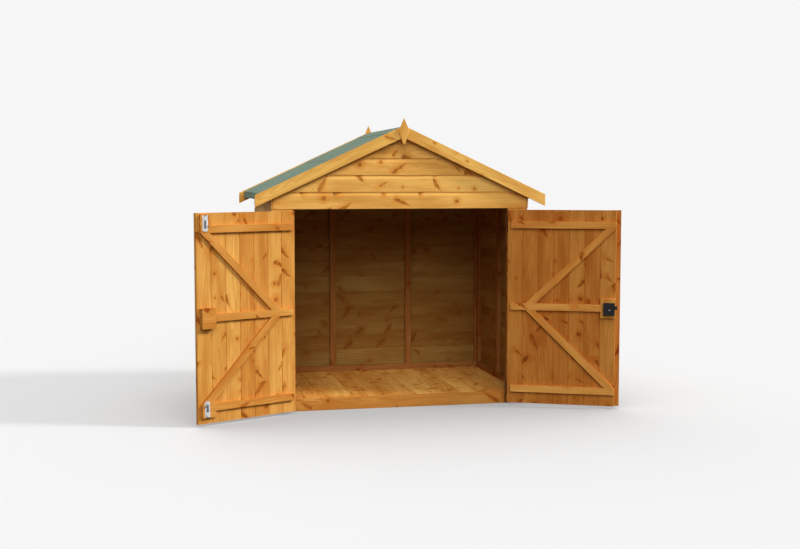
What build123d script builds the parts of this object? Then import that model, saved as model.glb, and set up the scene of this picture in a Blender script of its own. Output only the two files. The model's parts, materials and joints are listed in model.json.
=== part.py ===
"""Timber bike shelter with an apex roof and a pair of ledged and braced doors.

All sizes are in millimetres. The origin is on the ground at the centre of the walls' footprint.
+X is to the right seen from the front, +Y runs into the shelter and +Z is up. The doors stand open.
"""
from build123d import *
from math import cos, sin, tan, radians
import os

# Overall size
shed_width = 1830.0
shed_depth = 1220.0
eaves_height = 1540.0
roof_pitch = 24.8
wall_ground_gap = 18.0

# Stock sizes
cladding_thickness = 12.0
frame_face = 45.0
frame_depth = 28.0
floor_board_thickness = 12.0
bearer_height = 75.0
bearer_width = 45.0
bearer_rows_each_side = 2
front_board_thickness = 20.0
front_board_set_back = 57.0

# Roof
roof_side_overhang = 77.0
roof_end_overhang = 24.0
roof_board_thickness = 12.0
felt_thickness = 3.0
ridge_felt_width = 110.0
ridge_felt_lap = 2.0
eaves_batten_size = 28.0
roof_batten_width = 45.0
roof_batten_depth = 28.0
roof_batten_slope_place = 470.0
ridge_batten_gap = 12.0
barge_thickness = 18.0
barge_width = 74.0
barge_rise = 5.0
barge_end_projection = 38.0
finial_thickness = 12.0
finial_width = 76.0
finial_bottom_width = 13.0
finial_height = 178.0
finial_top_above_ridge = 50.0
finial_widest_above_bottom = 90.0

# Doorway and doors
doorway_head_drop = 129.0
header_drop = 5.0
header_height = 28.0
header_depth = 45.0
side_strip_width = 147.5
door_side_gap = 5.0
door_meeting_gap = 6.0
door_head_gap = 11.0
door_ground_gap = 20.0
left_open_angle = 154.0
right_open_angle = 155.0

# Door timbers
ledge_width = 48.0
ledge_thickness = 20.0
ledge_hinge_margin = 26.0
left_ledge_free_margin = 26.0
right_ledge_free_margin = 4.0
top_ledge_drop = 106.0
middle_ledge_lift = 4.0
bottom_ledge_rise = 106.0
brace_width = 48.0
brace_hinge_place = 167.0
left_brace_free_margin = 60.0
right_brace_free_margin = 37.0
meeting_strip_width = 45.0
meeting_strip_thickness = 18.0
left_meeting_strip_thickness = 12.0
cover_strip_width = 60.0
cover_strip_thickness = 12.0
cover_strip_lap = 30.0

# T hinges
hinge_axis_stand_off = 6.0
hinge_pin_radius = 3.0
hinge_knuckle_radius = 5.5
hinge_knuckle_height = 110.0
hinge_knuckle_count = 5
hinge_knuckle_gap = 0.4
hinge_pin_clearance = 0.3
hinge_strap_length = 300.0
hinge_strap_wide = 50.0
hinge_strap_narrow = 24.0
hinge_plate_width = 34.0
hinge_metal = 3.0

# Barrel bolts
bolt_margin = 40.0
bolt_plate_width = 38.0
bolt_plate_length = 106.0
bolt_plate_thickness = 1.5
bolt_plate_round = 14.0
bolt_top_margin = 15.0
bolt_bottom_margin = 46.0
bolt_rod_radius = 4.5
bolt_rod_clearance = 0.4
bolt_guide_wall = 2.5
bolt_barrel_length = 28.0
bolt_guide_length = 14.0
bolt_guide_inset = 6.0
bolt_rod_projection = 2.0
bolt_knob_radius = 3.5
bolt_knob_length = 23.0
bolt_knob_place = 34.0
bolt_hole_clearance = 1.5
bolt_block_margin = 26.0
bolt_block_length = 101.0
top_bolt_block_width = 60.0

# Lock and its two blocks
lock_block_length = 102.0
lock_block_height = 137.0
lock_block_margin = 1.0
keeper_block_margin = 20.0
keeper_block_length = 101.0
keeper_upper_height = 88.0
keeper_lower_height = 46.0
keeper_block_thickness = 40.0
lock_case_length = 78.0
lock_case_height = 87.0
lock_case_thickness = 25.0
lock_case_round = 4.0
lock_case_margin = 3.0
lock_case_drop = 2.5
lock_latch_projection = 17.0
lock_latch_height = 24.0
lock_latch_thickness = 14.0
lock_latch_rise = 7.0
lock_keyhole_radius = 4.0
lock_keyhole_drop = 9.0
lock_keyhole_setback = 36.0
lock_keyhole_depth = 12.0

# Fits
seat_gap = 0.3
ridge_gap = 0.3

# Places worked out from the sizes above
half_width = shed_width / 2
half_depth = shed_depth / 2
front_face = -half_depth
roof_slope = tan(radians(roof_pitch))
roof_across = 1 / cos(radians(roof_pitch))
ridge_under = eaves_height + roof_slope * half_width
roof_half_width = half_width + roof_side_overhang
roof_half_depth = half_depth + roof_end_overhang
barge_half_width = roof_half_width + barge_end_projection
inner_half_width = half_width - cladding_thickness
inner_half_depth = half_depth - cladding_thickness
floor_top = bearer_height + floor_board_thickness
front_board_face = front_face + front_board_set_back
floor_front = front_board_face + front_board_thickness

doorway_head_height = eaves_height - doorway_head_drop
door_hinge_edge = half_width - side_strip_width - door_side_gap
hinge_axis_x = half_width - side_strip_width - door_side_gap / 2
hinge_axis_y = front_face - hinge_axis_stand_off
door_width = door_hinge_edge - door_meeting_gap / 2
door_top = doorway_head_height - door_head_gap
door_bottom = door_ground_gap
top_ledge_height = door_top - top_ledge_drop
middle_ledge_height = (door_top + door_bottom) / 2 + middle_ledge_lift
bottom_ledge_height = door_bottom + bottom_ledge_rise
ledge_heights = (bottom_ledge_height, middle_ledge_height, top_ledge_height)
ledge_face = cladding_thickness + ledge_thickness
bolt_place = door_width - bolt_margin - bolt_plate_width / 2
bolt_rod_depth = ledge_face + bolt_plate_thickness + bolt_rod_radius + bolt_guide_wall

LEFT = -1
RIGHT = 1


def block(x0, x1, y0, y1, z0, z1):
    """A squared timber or plate between two corners, in any order along each direction."""
    centre = Pos((x0 + x1) / 2, (y0 + y1) / 2, (z0 + z1) / 2)
    return centre * Box(abs(x1 - x0), abs(y1 - y0), abs(z1 - z0))


def profile_along_y(points, y0, y1):
    """A closed outline in the XZ plane carried from y0 to y1."""
    outline = Polyline(*[(x, y0, z) for x, z in points], close=True)
    return extrude(make_face(outline), amount=y1 - y0, dir=(0, 1, 0))


def profile_through_leaf(points, y0, y1):
    """A closed outline on a shut door, given as (x, z), carried from y0 to y1."""
    return profile_along_y(points, min(y0, y1), max(y0, y1))


def roof_height(x, drop=0.0):
    """Height of the underside of the roof boards at x, less a vertical drop."""
    return ridge_under - roof_slope * abs(x) - drop


def roof_band(side, x0, x1, drop_top, drop_bottom, y0, y1):
    """A band that follows one roof slope between two distances from the ridge."""
    points = [
        (side * x0, roof_height(x0, drop_top)),
        (side * x1, roof_height(x1, drop_top)),
        (side * x1, roof_height(x1, drop_bottom)),
        (side * x0, roof_height(x0, drop_bottom)),
    ]
    return profile_along_y(points, y0, y1)


def together(shapes):
    """Like pieces that don't touch, kept in one node."""
    return Compound(children=[solid for shape in shapes for solid in shape.solids()])


# Floor


def make_floor_bearers():
    """Bearers across the shelter, with one through the origin."""
    ends = (floor_front + bearer_width / 2, inner_half_depth - bearer_width / 2)
    centres = [0.0]
    for end in ends:
        centres += [end * row / bearer_rows_each_side for row in range(1, bearer_rows_each_side + 1)]
    return together(
        block(-inner_half_width, inner_half_width, y - bearer_width / 2, y + bearer_width / 2, 0, bearer_height)
        for y in sorted(centres)
    )


def make_floor_deck():
    return block(-inner_half_width, inner_half_width, floor_front, inner_half_depth, bearer_height, floor_top)


def make_floor_front_board():
    return block(-inner_half_width, inner_half_width, front_board_face, floor_front, 0, floor_top)


# Walls


def make_side_wall(side):
    """Cladding of one side, cut to the roof slope along its top."""
    outer, inner = side * half_width, side * inner_half_width
    points = [
        (outer, wall_ground_gap),
        (inner, wall_ground_gap),
        (inner, roof_height(inner, seat_gap)),
        (outer, roof_height(outer, seat_gap)),
    ]
    return profile_along_y(points, -half_depth, half_depth)


def make_end_cladding(bottom, y0, y1):
    """Cladding of an end wall from a height up to the roof, gable included."""
    points = [
        (-inner_half_width, bottom),
        (inner_half_width, bottom),
        (inner_half_width, roof_height(inner_half_width, seat_gap)),
        (0, roof_height(0, seat_gap)),
        (-inner_half_width, roof_height(inner_half_width, seat_gap)),
    ]
    return profile_along_y(points, y0, y1)


def make_front_side_strip(side):
    """The fixed boards between a front corner and its door."""
    inner_edge = half_width - side_strip_width
    return block(
        side * inner_half_width, side * inner_edge,
        front_face, front_face + cladding_thickness,
        wall_ground_gap, doorway_head_height,
    )


# Frames


def make_door_posts():
    """Posts behind the side strips, which carry the doors' hinges and the header rail."""
    edge = half_width - side_strip_width
    back = front_face + cladding_thickness
    top = doorway_head_height - header_drop
    return together(
        block(side * edge, side * (edge + frame_depth), back, back + frame_face, wall_ground_gap, top)
        for side in (LEFT, RIGHT)
    )


def make_header_rail():
    """The rail over the doorway, bored for the top bolt."""
    back = front_face + cladding_thickness
    bottom = doorway_head_height - header_drop
    rail = block(-inner_half_width, inner_half_width, back, back + header_depth, bottom, bottom + header_height)
    hole = Pos(bolt_x(), front_face + bolt_rod_depth, bottom + header_height / 2)
    return rail - hole * Cylinder(bolt_rod_radius + bolt_hole_clearance, header_height * 2)


def make_side_frame(side):
    """Bottom rail, top rail cut to the roof slope and three studs of a side wall."""
    outer, inner = inner_half_width, inner_half_width - frame_depth
    front = front_face + cladding_thickness + max(header_depth, frame_face)
    back = inner_half_depth - frame_depth
    rail_top = eaves_height - frame_face
    bottom_rail = block(side * inner, side * outer, front, back, floor_top, floor_top + frame_face)
    top_rail = profile_along_y(
        [
            (side * outer, rail_top),
            (side * inner, rail_top),
            (side * inner, roof_height(inner, seat_gap)),
            (side * outer, roof_height(outer, seat_gap)),
        ],
        front, back,
    )
    middle = (front + back) / 2
    stud_fronts = (front, middle - frame_face / 2, back - frame_face)
    studs = [
        block(
            side * inner, side * outer, y, y + frame_face,
            floor_top + frame_face + seat_gap, rail_top - seat_gap,
        )
        for y in stud_fronts
    ]
    return together([bottom_rail, top_rail, *studs])


def make_back_frame():
    """Bottom rail, tie rail, corner studs and two studs at the thirds of the back wall."""
    y0, y1 = inner_half_depth - frame_depth, inner_half_depth
    edge = inner_half_width
    tie_top = eaves_height - frame_face
    tie_bottom = tie_top - frame_face
    rails = [
        block(-edge, edge, y0, y1, floor_top, floor_top + frame_face),
        block(-edge, edge, y0, y1, tie_bottom, tie_top),
    ]
    third = shed_width / 6
    places = (-edge + frame_face / 2, -third, third, edge - frame_face / 2)
    studs = [
        block(
            x - frame_face / 2, x + frame_face / 2, y0, y1,
            floor_top + frame_face + seat_gap, tie_bottom - seat_gap,
        )
        for x in places
    ]
    return together(rails + studs)


def make_gable_rafters(y0, y1):
    """A pair of rafters behind a gable, butted at the ridge."""
    drop = frame_face * roof_across
    return together(
        roof_band(side, ridge_gap, inner_half_width, seat_gap, drop, y0, y1) for side in (LEFT, RIGHT)
    )


# Roof


def make_roof_boards(side):
    edge = roof_half_width - felt_thickness
    top = -roof_board_thickness * roof_across
    return roof_band(side, ridge_gap, edge, top, 0, -roof_half_depth, roof_half_depth)


def make_roof_battens():
    """Battens under the boards: one along each eaves, and two on each slope between the gables."""
    battens = []
    inner_half = inner_half_depth - frame_depth - seat_gap
    edge = roof_half_width - felt_thickness
    depth = roof_batten_depth * roof_across
    for side in (LEFT, RIGHT):
        eaves_drop = eaves_batten_size * roof_across
        battens.append(roof_band(
            side, edge - eaves_batten_size, edge, seat_gap, eaves_drop, -roof_half_depth, roof_half_depth,
        ))
        for start in (ridge_batten_gap, roof_batten_slope_place):
            battens.append(roof_band(
                side, start, start + roof_batten_width, seat_gap, depth, -inner_half, inner_half,
            ))
    return together(battens)


def make_roof_felt(side):
    """Felt on one slope, turned down over the boards and the eaves batten."""
    board_top = -roof_board_thickness * roof_across - seat_gap
    felt_top = board_top - felt_thickness * roof_across
    inner = roof_half_width - felt_thickness + seat_gap
    drop = eaves_batten_size * roof_across
    points = [
        (side * ridge_gap, roof_height(ridge_gap, felt_top)),
        (side * roof_half_width, roof_height(roof_half_width, felt_top)),
        (side * roof_half_width, roof_height(roof_half_width, drop)),
        (side * inner, roof_height(inner, drop)),
        (side * inner, roof_height(inner, board_top)),
        (side * ridge_gap, roof_height(ridge_gap, board_top)),
    ]
    return profile_along_y(points, -roof_half_depth, roof_half_depth)


def make_ridge_felt():
    """A capping strip of felt folded over the ridge."""
    under = -(roof_board_thickness + felt_thickness) * roof_across - 2 * seat_gap
    top = under - ridge_felt_lap * roof_across
    reach = ridge_felt_width * cos(radians(roof_pitch))
    points = [
        (0, roof_height(0, top)),
        (reach, roof_height(reach, top)),
        (reach, roof_height(reach, under)),
        (0, roof_height(0, under)),
        (-reach, roof_height(reach, under)),
        (-reach, roof_height(reach, top)),
    ]
    return profile_along_y(points, -roof_half_depth, roof_half_depth)


barge_top_drop = -(roof_board_thickness + felt_thickness) * roof_across - barge_rise
barge_bottom_drop = barge_top_drop + barge_width * roof_across


def make_bargeboard(side, y0, y1):
    """A board up one verge, cut plumb at the ridge and a little beyond the felted eaves."""
    return roof_band(side, ridge_gap, barge_half_width, barge_top_drop, barge_bottom_drop, y0, y1)


def make_finial(y0, y1):
    """A flat board over the joint of two bargeboards, pointed above and cut blunt below."""
    top = roof_height(0, barge_top_drop) + finial_top_above_ridge
    bottom = top - finial_height
    widest = bottom + finial_widest_above_bottom
    points = [
        (0, top),
        (finial_width / 2, widest),
        (finial_bottom_width / 2, bottom),
        (-finial_bottom_width / 2, bottom),
        (-finial_width / 2, widest),
    ]
    return profile_along_y(points, y0, y1)


# Doors, made shut and then swung open


def leaf_x(side, along):
    """Place across the shelter of a distance from a shut door's hinge edge."""
    return side * (door_hinge_edge - along)


def leaf_block(side, u0, u1, v0, v1, z0, z1):
    """A block on a shut door: along it from the hinge edge, into the shelter from its face, and up."""
    return block(leaf_x(side, u0), leaf_x(side, u1), front_face + v0, front_face + v1, z0, z1)


def bolt_x():
    return leaf_x(LEFT, bolt_place)


def swing(shape, side):
    """Turn a piece of a shut door about its hinge to where the door stands open."""
    angle = left_open_angle if side == LEFT else right_open_angle
    axis = Axis((side * hinge_axis_x, hinge_axis_y, 0), (0, 0, 1))
    return shape.rotate(axis, side * angle)


def make_door_boards(side):
    return leaf_block(side, 0, door_width, 0, cladding_thickness, door_bottom, door_top)


def make_ledges(side):
    """Three ledges across the inside of a door, short of its edges."""
    free_margin = left_ledge_free_margin if side == LEFT else right_ledge_free_margin
    free_end = [door_width - free_margin] * 3
    if side == LEFT:
        free_end[1] = door_width - keeper_block_margin - keeper_block_length - seat_gap
    else:
        free_end[1] = door_width - lock_block_margin - lock_block_length - seat_gap
    return together(
        leaf_block(
            side, ledge_hinge_margin, end, cladding_thickness, ledge_face,
            height - ledge_width / 2, height + ledge_width / 2,
        )
        for height, end in zip(ledge_heights, free_end)
    )


def make_braces(side):
    """Two braces from the hinge side of the middle ledge to the free ends of the outer ledges."""
    braces = []
    free = door_width - (left_brace_free_margin if side == LEFT else right_brace_free_margin)
    ledge_end = door_width - (left_ledge_free_margin if side == LEFT else right_ledge_free_margin)
    for outer, way in ((top_ledge_height, 1), (bottom_ledge_height, -1)):
        z0 = middle_ledge_height + way * (ledge_width / 2 + seat_gap)
        z1 = outer - way * (ledge_width / 2 + seat_gap)
        run, rise = free - brace_hinge_place, abs(z1 - z0)
        half_cut = brace_width / 2 * (run ** 2 + rise ** 2) ** 0.5 / rise
        points = [
            (leaf_x(side, brace_hinge_place - half_cut), z0),
            (leaf_x(side, brace_hinge_place + half_cut), z0),
            (leaf_x(side, free + half_cut), z1),
            (leaf_x(side, free - half_cut), z1),
        ]
        brace = profile_through_leaf(points, front_face + cladding_thickness, front_face + ledge_face)
        braces.append(brace & leaf_block(side, 0, ledge_end, 0, ledge_face, door_bottom, door_top))
    return together(braces)


def make_meeting_strip(side):
    """An upright strip on the outside of a door along its free edge."""
    thickness = left_meeting_strip_thickness if side == LEFT else meeting_strip_thickness
    return leaf_block(
        side, door_width - meeting_strip_width, door_width, -thickness, 0, door_bottom, door_top,
    )


def make_cover_strip():
    """A strip on the right door that laps over the left door's edge."""
    end = door_width + cover_strip_lap
    face = -meeting_strip_thickness
    return leaf_block(RIGHT, end - cover_strip_width, end, face - cover_strip_thickness, face, door_bottom, door_top)


def hinge_heights():
    return (bottom_ledge_height, top_ledge_height)


def knuckle_spans(height):
    """Lower and upper end of each knuckle of a hinge."""
    pitch = hinge_knuckle_height / hinge_knuckle_count
    start = height - hinge_knuckle_height / 2
    return [
        (start + i * pitch + hinge_knuckle_gap / 2, start + (i + 1) * pitch - hinge_knuckle_gap / 2)
        for i in range(hinge_knuckle_count)
    ]


def knuckle(side, span, bore):
    """One rolled knuckle around the hinge axis."""
    length = span[1] - span[0]
    place = Pos(side * hinge_axis_x, hinge_axis_y, (span[0] + span[1]) / 2)
    tube = Cylinder(hinge_knuckle_radius, length)
    return place * (tube - Cylinder(bore, length * 2)) if bore else place * tube


def make_hinge_straps(side):
    """The moving part of a door's T hinges: a tapered strap with its knuckles."""
    straps = []
    reach = door_side_gap / 2
    for height in hinge_heights():
        wide, narrow = hinge_strap_wide / 2, hinge_strap_narrow / 2
        tip = hinge_strap_length
        points = [
            (leaf_x(side, -reach), height - wide),
            (leaf_x(side, -reach), height + wide),
            (leaf_x(side, tip - narrow), height + narrow),
            (leaf_x(side, tip), height),
            (leaf_x(side, tip - narrow), height - narrow),
        ]
        strap = profile_through_leaf(points, front_face - hinge_metal, front_face)
        axis_hole = Pos(side * hinge_axis_x, hinge_axis_y, height)
        strap -= axis_hole * Cylinder(hinge_pin_radius + hinge_pin_clearance, hinge_strap_wide * 2)
        for span in knuckle_spans(height)[1::2]:
            strap += knuckle(side, span, hinge_pin_radius + hinge_pin_clearance)
        for span in knuckle_spans(height)[0::2]:
            low, high = span[0] - hinge_knuckle_gap, span[1] + hinge_knuckle_gap
            room = hinge_knuckle_radius + 2 * hinge_knuckle_gap
            middle = Pos(side * hinge_axis_x, hinge_axis_y, (low + high) / 2)
            strap -= middle * Cylinder(room, high - low)
        straps.append(strap)
    return together(straps)


def make_hinge_plates():
    """The fixed part of the T hinges: an upright plate on each side strip, knuckles and pin."""
    plates = []
    for side in (LEFT, RIGHT):
        for height in hinge_heights():
            inner = hinge_axis_x
            plate = block(
                side * inner, side * (inner + hinge_plate_width),
                front_face - hinge_metal, front_face,
                height - hinge_knuckle_height / 2, height + hinge_knuckle_height / 2,
            )
            for span in knuckle_spans(height)[1::2]:
                low, high = span[0] - hinge_knuckle_gap, span[1] + hinge_knuckle_gap
                room = hinge_knuckle_radius + 2 * hinge_knuckle_gap
                middle = Pos(side * hinge_axis_x, hinge_axis_y, (low + high) / 2)
                plate -= middle * Cylinder(room, high - low)
            for span in knuckle_spans(height)[0::2]:
                plate += knuckle(side, span, 0)
            pin = Pos(side * hinge_axis_x, hinge_axis_y, height)
            plate += pin * Cylinder(hinge_pin_radius, hinge_knuckle_height - hinge_knuckle_gap)
            plates.append(plate)
    return together(plates)


def bolt_spans():
    """Lower and upper end of the back plate of the top bolt and of the bottom bolt."""
    top = door_top - bolt_top_margin
    bottom = door_bottom + bolt_bottom_margin
    return (top - bolt_plate_length, top), (bottom, bottom + bolt_plate_length)


def make_bolt_blocks():
    """Packing of the ledges' thickness beyond the outer ledges, behind the bolts."""
    top_span, bottom_span = bolt_spans()
    ledge_top = top_ledge_height + ledge_width / 2
    ledge_bottom = bottom_ledge_height - ledge_width / 2
    outer = door_width - bolt_block_margin
    upper = leaf_block(
        LEFT, outer - top_bolt_block_width, outer, cladding_thickness, ledge_face,
        ledge_top + seat_gap, top_span[1] + bolt_guide_inset,
    )
    lower = leaf_block(
        LEFT, outer - bolt_block_length, outer, cladding_thickness, ledge_face,
        bottom_span[0] - bolt_guide_inset, ledge_bottom - seat_gap,
    )
    return together([upper, lower])


def bolt_guide(low, high):
    """A housing that holds the rod against the back plate."""
    outer = bolt_rod_radius + bolt_rod_clearance + bolt_guide_wall
    depth = front_face + bolt_rod_depth
    foot = front_face + ledge_face + bolt_plate_thickness
    x = bolt_x()
    middle = (low + high) / 2
    body = Pos(x, depth, middle) * Cylinder(outer, high - low)
    body += block(x - outer, x + outer, foot, depth, low, high)
    return body


def make_bolt_plates():
    """Back plate of each barrel bolt, rounded at its inner end, with its barrel and its inner guide."""
    bodies = []
    for way_out, (low, high) in zip((1, -1), bolt_spans()):
        x, half = bolt_x(), bolt_plate_width / 2
        face = front_face + ledge_face
        body = block(x - half, x + half, face, face + bolt_plate_thickness, low, high)
        inner_end = body.edges().filter_by(Axis.Y).group_by(Axis.Z)[0 if way_out > 0 else -1]
        body = fillet(inner_end, bolt_plate_round)
        inner, outer = (low, high) if way_out > 0 else (high, low)
        for end, way, length in ((inner, way_out, bolt_guide_length), (outer, -way_out, bolt_barrel_length)):
            span = sorted((end + way * bolt_guide_inset, end + way * (bolt_guide_inset + length)))
            body += bolt_guide(*span)
        rod_hole = Pos(x, front_face + bolt_rod_depth, (low + high) / 2)
        body -= rod_hole * Cylinder(bolt_rod_radius + bolt_rod_clearance, bolt_plate_length * 2)
        bodies.append(body)
    return together(bodies)


def make_bolt_rod(is_top):
    """A sliding rod with its knob turned down to one side, drawn back."""
    low, high = bolt_spans()[0 if is_top else 1]
    x, y = bolt_x(), front_face + bolt_rod_depth
    if is_top:
        rod_low, rod_high = low + bolt_guide_inset - bolt_rod_projection, high + bolt_rod_projection
        knob_height = low + bolt_knob_place
    else:
        rod_low, rod_high = low - bolt_rod_projection, high - bolt_guide_inset + bolt_rod_projection
        knob_height = high - bolt_knob_place
    rod = Pos(x, y, (rod_low + rod_high) / 2) * Cylinder(bolt_rod_radius, rod_high - rod_low)
    knob_way = LEFT if is_top else RIGHT
    knob = Pos(x + knob_way * bolt_knob_length / 2, y, knob_height) * Rot(0, 90, 0) * Cylinder(
        bolt_knob_radius, bolt_knob_length
    )
    return rod + knob


def make_keeper_block():
    """The thick block on the left door that the lock's latch closes beside, built of two boards."""
    outer = door_width - keeper_block_margin
    height = keeper_upper_height + keeper_lower_height
    low = middle_ledge_height - height / 2
    joint = low + keeper_lower_height
    return together(
        leaf_block(
            LEFT, outer - keeper_block_length, outer,
            cladding_thickness, cladding_thickness + keeper_block_thickness, z0, z1,
        )
        for z0, z1 in ((low, joint), (joint + seat_gap, low + height))
    )


def make_lock_block():
    outer = door_width - lock_block_margin
    return leaf_block(
        RIGHT, outer - lock_block_length, outer, cladding_thickness, ledge_face,
        middle_ledge_height - lock_block_height / 2, middle_ledge_height + lock_block_height / 2,
    )


def make_rim_lock():
    """The lock case with its latch and keyhole, on the block."""
    u1 = door_width - lock_case_margin
    u0 = u1 - lock_case_length
    low = middle_ledge_height - lock_case_drop - lock_case_height / 2
    face = ledge_face + lock_case_thickness
    case = leaf_block(RIGHT, u0, u1, ledge_face, face, low, low + lock_case_height)
    case = fillet(case.edges().group_by(Axis.Y)[-1], lock_case_round)
    latch_middle = ledge_face + lock_case_thickness / 2
    latch_height = middle_ledge_height + lock_latch_rise
    case += leaf_block(
        RIGHT, u1 - lock_case_round, u1 + lock_latch_projection,
        latch_middle - lock_latch_thickness / 2, latch_middle + lock_latch_thickness / 2,
        latch_height - lock_latch_height / 2, latch_height + lock_latch_height / 2,
    )
    key_x = leaf_x(RIGHT, u1 - lock_keyhole_setback)
    key_z = middle_ledge_height - lock_keyhole_drop
    mouth = Pos(key_x, front_face + face, key_z) * Rot(90, 0, 0)
    return case - mouth * Cylinder(lock_keyhole_radius, lock_keyhole_depth * 2)


def build():
    """Every piece of the shelter by name."""
    clad_back = front_face + cladding_thickness
    rafter_back = clad_back + frame_depth
    barge_front, barge_rear = -roof_half_depth - barge_thickness, roof_half_depth + barge_thickness
    pieces = {
        "floor_bearers": make_floor_bearers(),
        "floor_deck": make_floor_deck(),
        "floor_front_board": make_floor_front_board(),
        "left_wall": make_side_wall(LEFT),
        "right_wall": make_side_wall(RIGHT),
        "back_wall": make_end_cladding(wall_ground_gap, inner_half_depth, half_depth),
        "front_gable": make_end_cladding(doorway_head_height, front_face, clad_back),
        "front_left_strip": make_front_side_strip(LEFT),
        "front_right_strip": make_front_side_strip(RIGHT),
        "door_posts": make_door_posts(),
        "header_rail": make_header_rail(),
        "left_wall_frame": make_side_frame(LEFT),
        "right_wall_frame": make_side_frame(RIGHT),
        "back_wall_frame": make_back_frame(),
        "front_gable_rafters": make_gable_rafters(clad_back, rafter_back),
        "back_gable_rafters": make_gable_rafters(inner_half_depth - frame_depth, inner_half_depth),
        "left_roof_boards": make_roof_boards(LEFT),
        "right_roof_boards": make_roof_boards(RIGHT),
        "roof_battens": make_roof_battens(),
        "left_roof_felt": make_roof_felt(LEFT),
        "right_roof_felt": make_roof_felt(RIGHT),
        "ridge_felt": make_ridge_felt(),
        "front_left_bargeboard": make_bargeboard(LEFT, barge_front, -roof_half_depth),
        "front_right_bargeboard": make_bargeboard(RIGHT, barge_front, -roof_half_depth),
        "rear_left_bargeboard": make_bargeboard(LEFT, roof_half_depth, barge_rear),
        "rear_right_bargeboard": make_bargeboard(RIGHT, roof_half_depth, barge_rear),
        "front_finial": make_finial(barge_front - finial_thickness, barge_front),
        "rear_finial": make_finial(barge_rear, barge_rear + finial_thickness),
        "hinge_plates": make_hinge_plates(),
    }
    left_door = {
        "left_door_boards": make_door_boards(LEFT),
        "left_door_ledges": make_ledges(LEFT),
        "left_door_braces": make_braces(LEFT),
        "left_door_meeting_strip": make_meeting_strip(LEFT),
        "left_door_hinge_straps": make_hinge_straps(LEFT),
        "left_door_bolt_blocks": make_bolt_blocks(),
        "left_door_bolt_plates": make_bolt_plates(),
        "left_door_keeper_block": make_keeper_block(),
        "top_bolt_rod": make_bolt_rod(True),
        "bottom_bolt_rod": make_bolt_rod(False),
    }
    right_door = {
        "right_door_boards": make_door_boards(RIGHT),
        "right_door_ledges": make_ledges(RIGHT),
        "right_door_braces": make_braces(RIGHT),
        "right_door_meeting_strip": make_meeting_strip(RIGHT),
        "right_door_cover_strip": make_cover_strip(),
        "right_door_hinge_straps": make_hinge_straps(RIGHT),
        "right_door_lock_block": make_lock_block(),
        "right_door_rim_lock": make_rim_lock(),
    }
    pieces.update({name: swing(shape, LEFT) for name, shape in left_door.items()})
    pieces.update({name: swing(shape, RIGHT) for name, shape in right_door.items()})
    return pieces


os.makedirs("parts", exist_ok=True)
for name, shape in build().items():
    export_step(shape, f"parts/{name}.step")
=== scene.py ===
"""Looks of a timber bike shelter: shiplap walls, boarded floor and roof, felt, ledged doors and their ironwork."""
import json
import math

import bmesh
import bpy
from bpy.props import FloatProperty, FloatVectorProperty, IntProperty, PointerProperty
from mathutils import Matrix, Vector, noise


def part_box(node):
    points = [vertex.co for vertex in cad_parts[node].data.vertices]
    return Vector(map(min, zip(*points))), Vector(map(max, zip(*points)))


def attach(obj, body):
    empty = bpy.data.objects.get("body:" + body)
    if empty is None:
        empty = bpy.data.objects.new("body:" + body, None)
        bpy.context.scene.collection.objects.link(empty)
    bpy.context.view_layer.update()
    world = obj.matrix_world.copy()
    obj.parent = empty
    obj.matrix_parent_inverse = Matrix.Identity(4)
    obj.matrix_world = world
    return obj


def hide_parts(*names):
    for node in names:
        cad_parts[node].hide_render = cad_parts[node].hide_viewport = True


bl_info = {
    "name": "Timber Bike Shelter",
    "version": (1, 0, 0),
    "blender": (4, 5, 0),
    "location": "3D View > Sidebar > Bike Shelter",
    "description": "Dresses a timber bike shelter with boards, felt, doors and ironwork",
    "category": "Object",
}

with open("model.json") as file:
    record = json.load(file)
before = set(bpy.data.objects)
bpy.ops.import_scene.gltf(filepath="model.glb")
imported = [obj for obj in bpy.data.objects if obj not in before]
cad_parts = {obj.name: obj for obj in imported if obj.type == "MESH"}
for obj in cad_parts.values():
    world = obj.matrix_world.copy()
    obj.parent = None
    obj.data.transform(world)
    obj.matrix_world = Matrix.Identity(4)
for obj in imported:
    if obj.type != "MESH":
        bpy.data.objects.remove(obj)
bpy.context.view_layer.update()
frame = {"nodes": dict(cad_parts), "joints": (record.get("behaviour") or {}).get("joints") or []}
joints = {joint["name"]: joint for joint in frame["joints"]}

LEFT, RIGHT = -1, 1
SEAM = 0.0003
MERGE = 0.00001


def low(node):
    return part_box(node)[0]


def high(node):
    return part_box(node)[1]


def linear(red, green, blue):
    """Scene colour of a display colour given from 0 to 255."""
    parts = [part / 255 for part in (red, green, blue)]
    return [part / 12.92 if part <= 0.04045 else ((part + 0.055) / 1.055) ** 2.4 for part in parts] + [1.0]


def finish_colour(name, description, *display):
    """A colour setting whose default is given as a display colour from 0 to 255."""
    return FloatVectorProperty(
        name=name, description=description, default=linear(*display)[:3], size=3, min=0, max=1, subtype="COLOR",
    )


# Settings that a user would change


class CladdingSettings(bpy.types.PropertyGroup):
    cover: FloatProperty(
        name="Cover width", description="Height that each shiplap board covers",
        default=(low("front_gable").z - low("left_wall").z) / 12, min=0.05, max=0.3, unit="LENGTH",
    )
    tongue: FloatProperty(
        name="Tongue", description="Height of the tongue behind the next board",
        default=0.009, min=0.002, max=0.02, unit="LENGTH",
    )
    scoop_height: FloatProperty(
        name="Scoop height", description="Height of the hollow along the top of a board",
        default=0.026, min=0.005, max=0.05, unit="LENGTH",
    )
    scoop_depth: FloatProperty(
        name="Scoop depth", description="How far the hollow runs in at the joint",
        default=0.0058, min=0.001, max=0.01, unit="LENGTH",
    )
    seed: IntProperty(name="Seed", description="Choice of timber for the walls", default=11, min=0)


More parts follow.
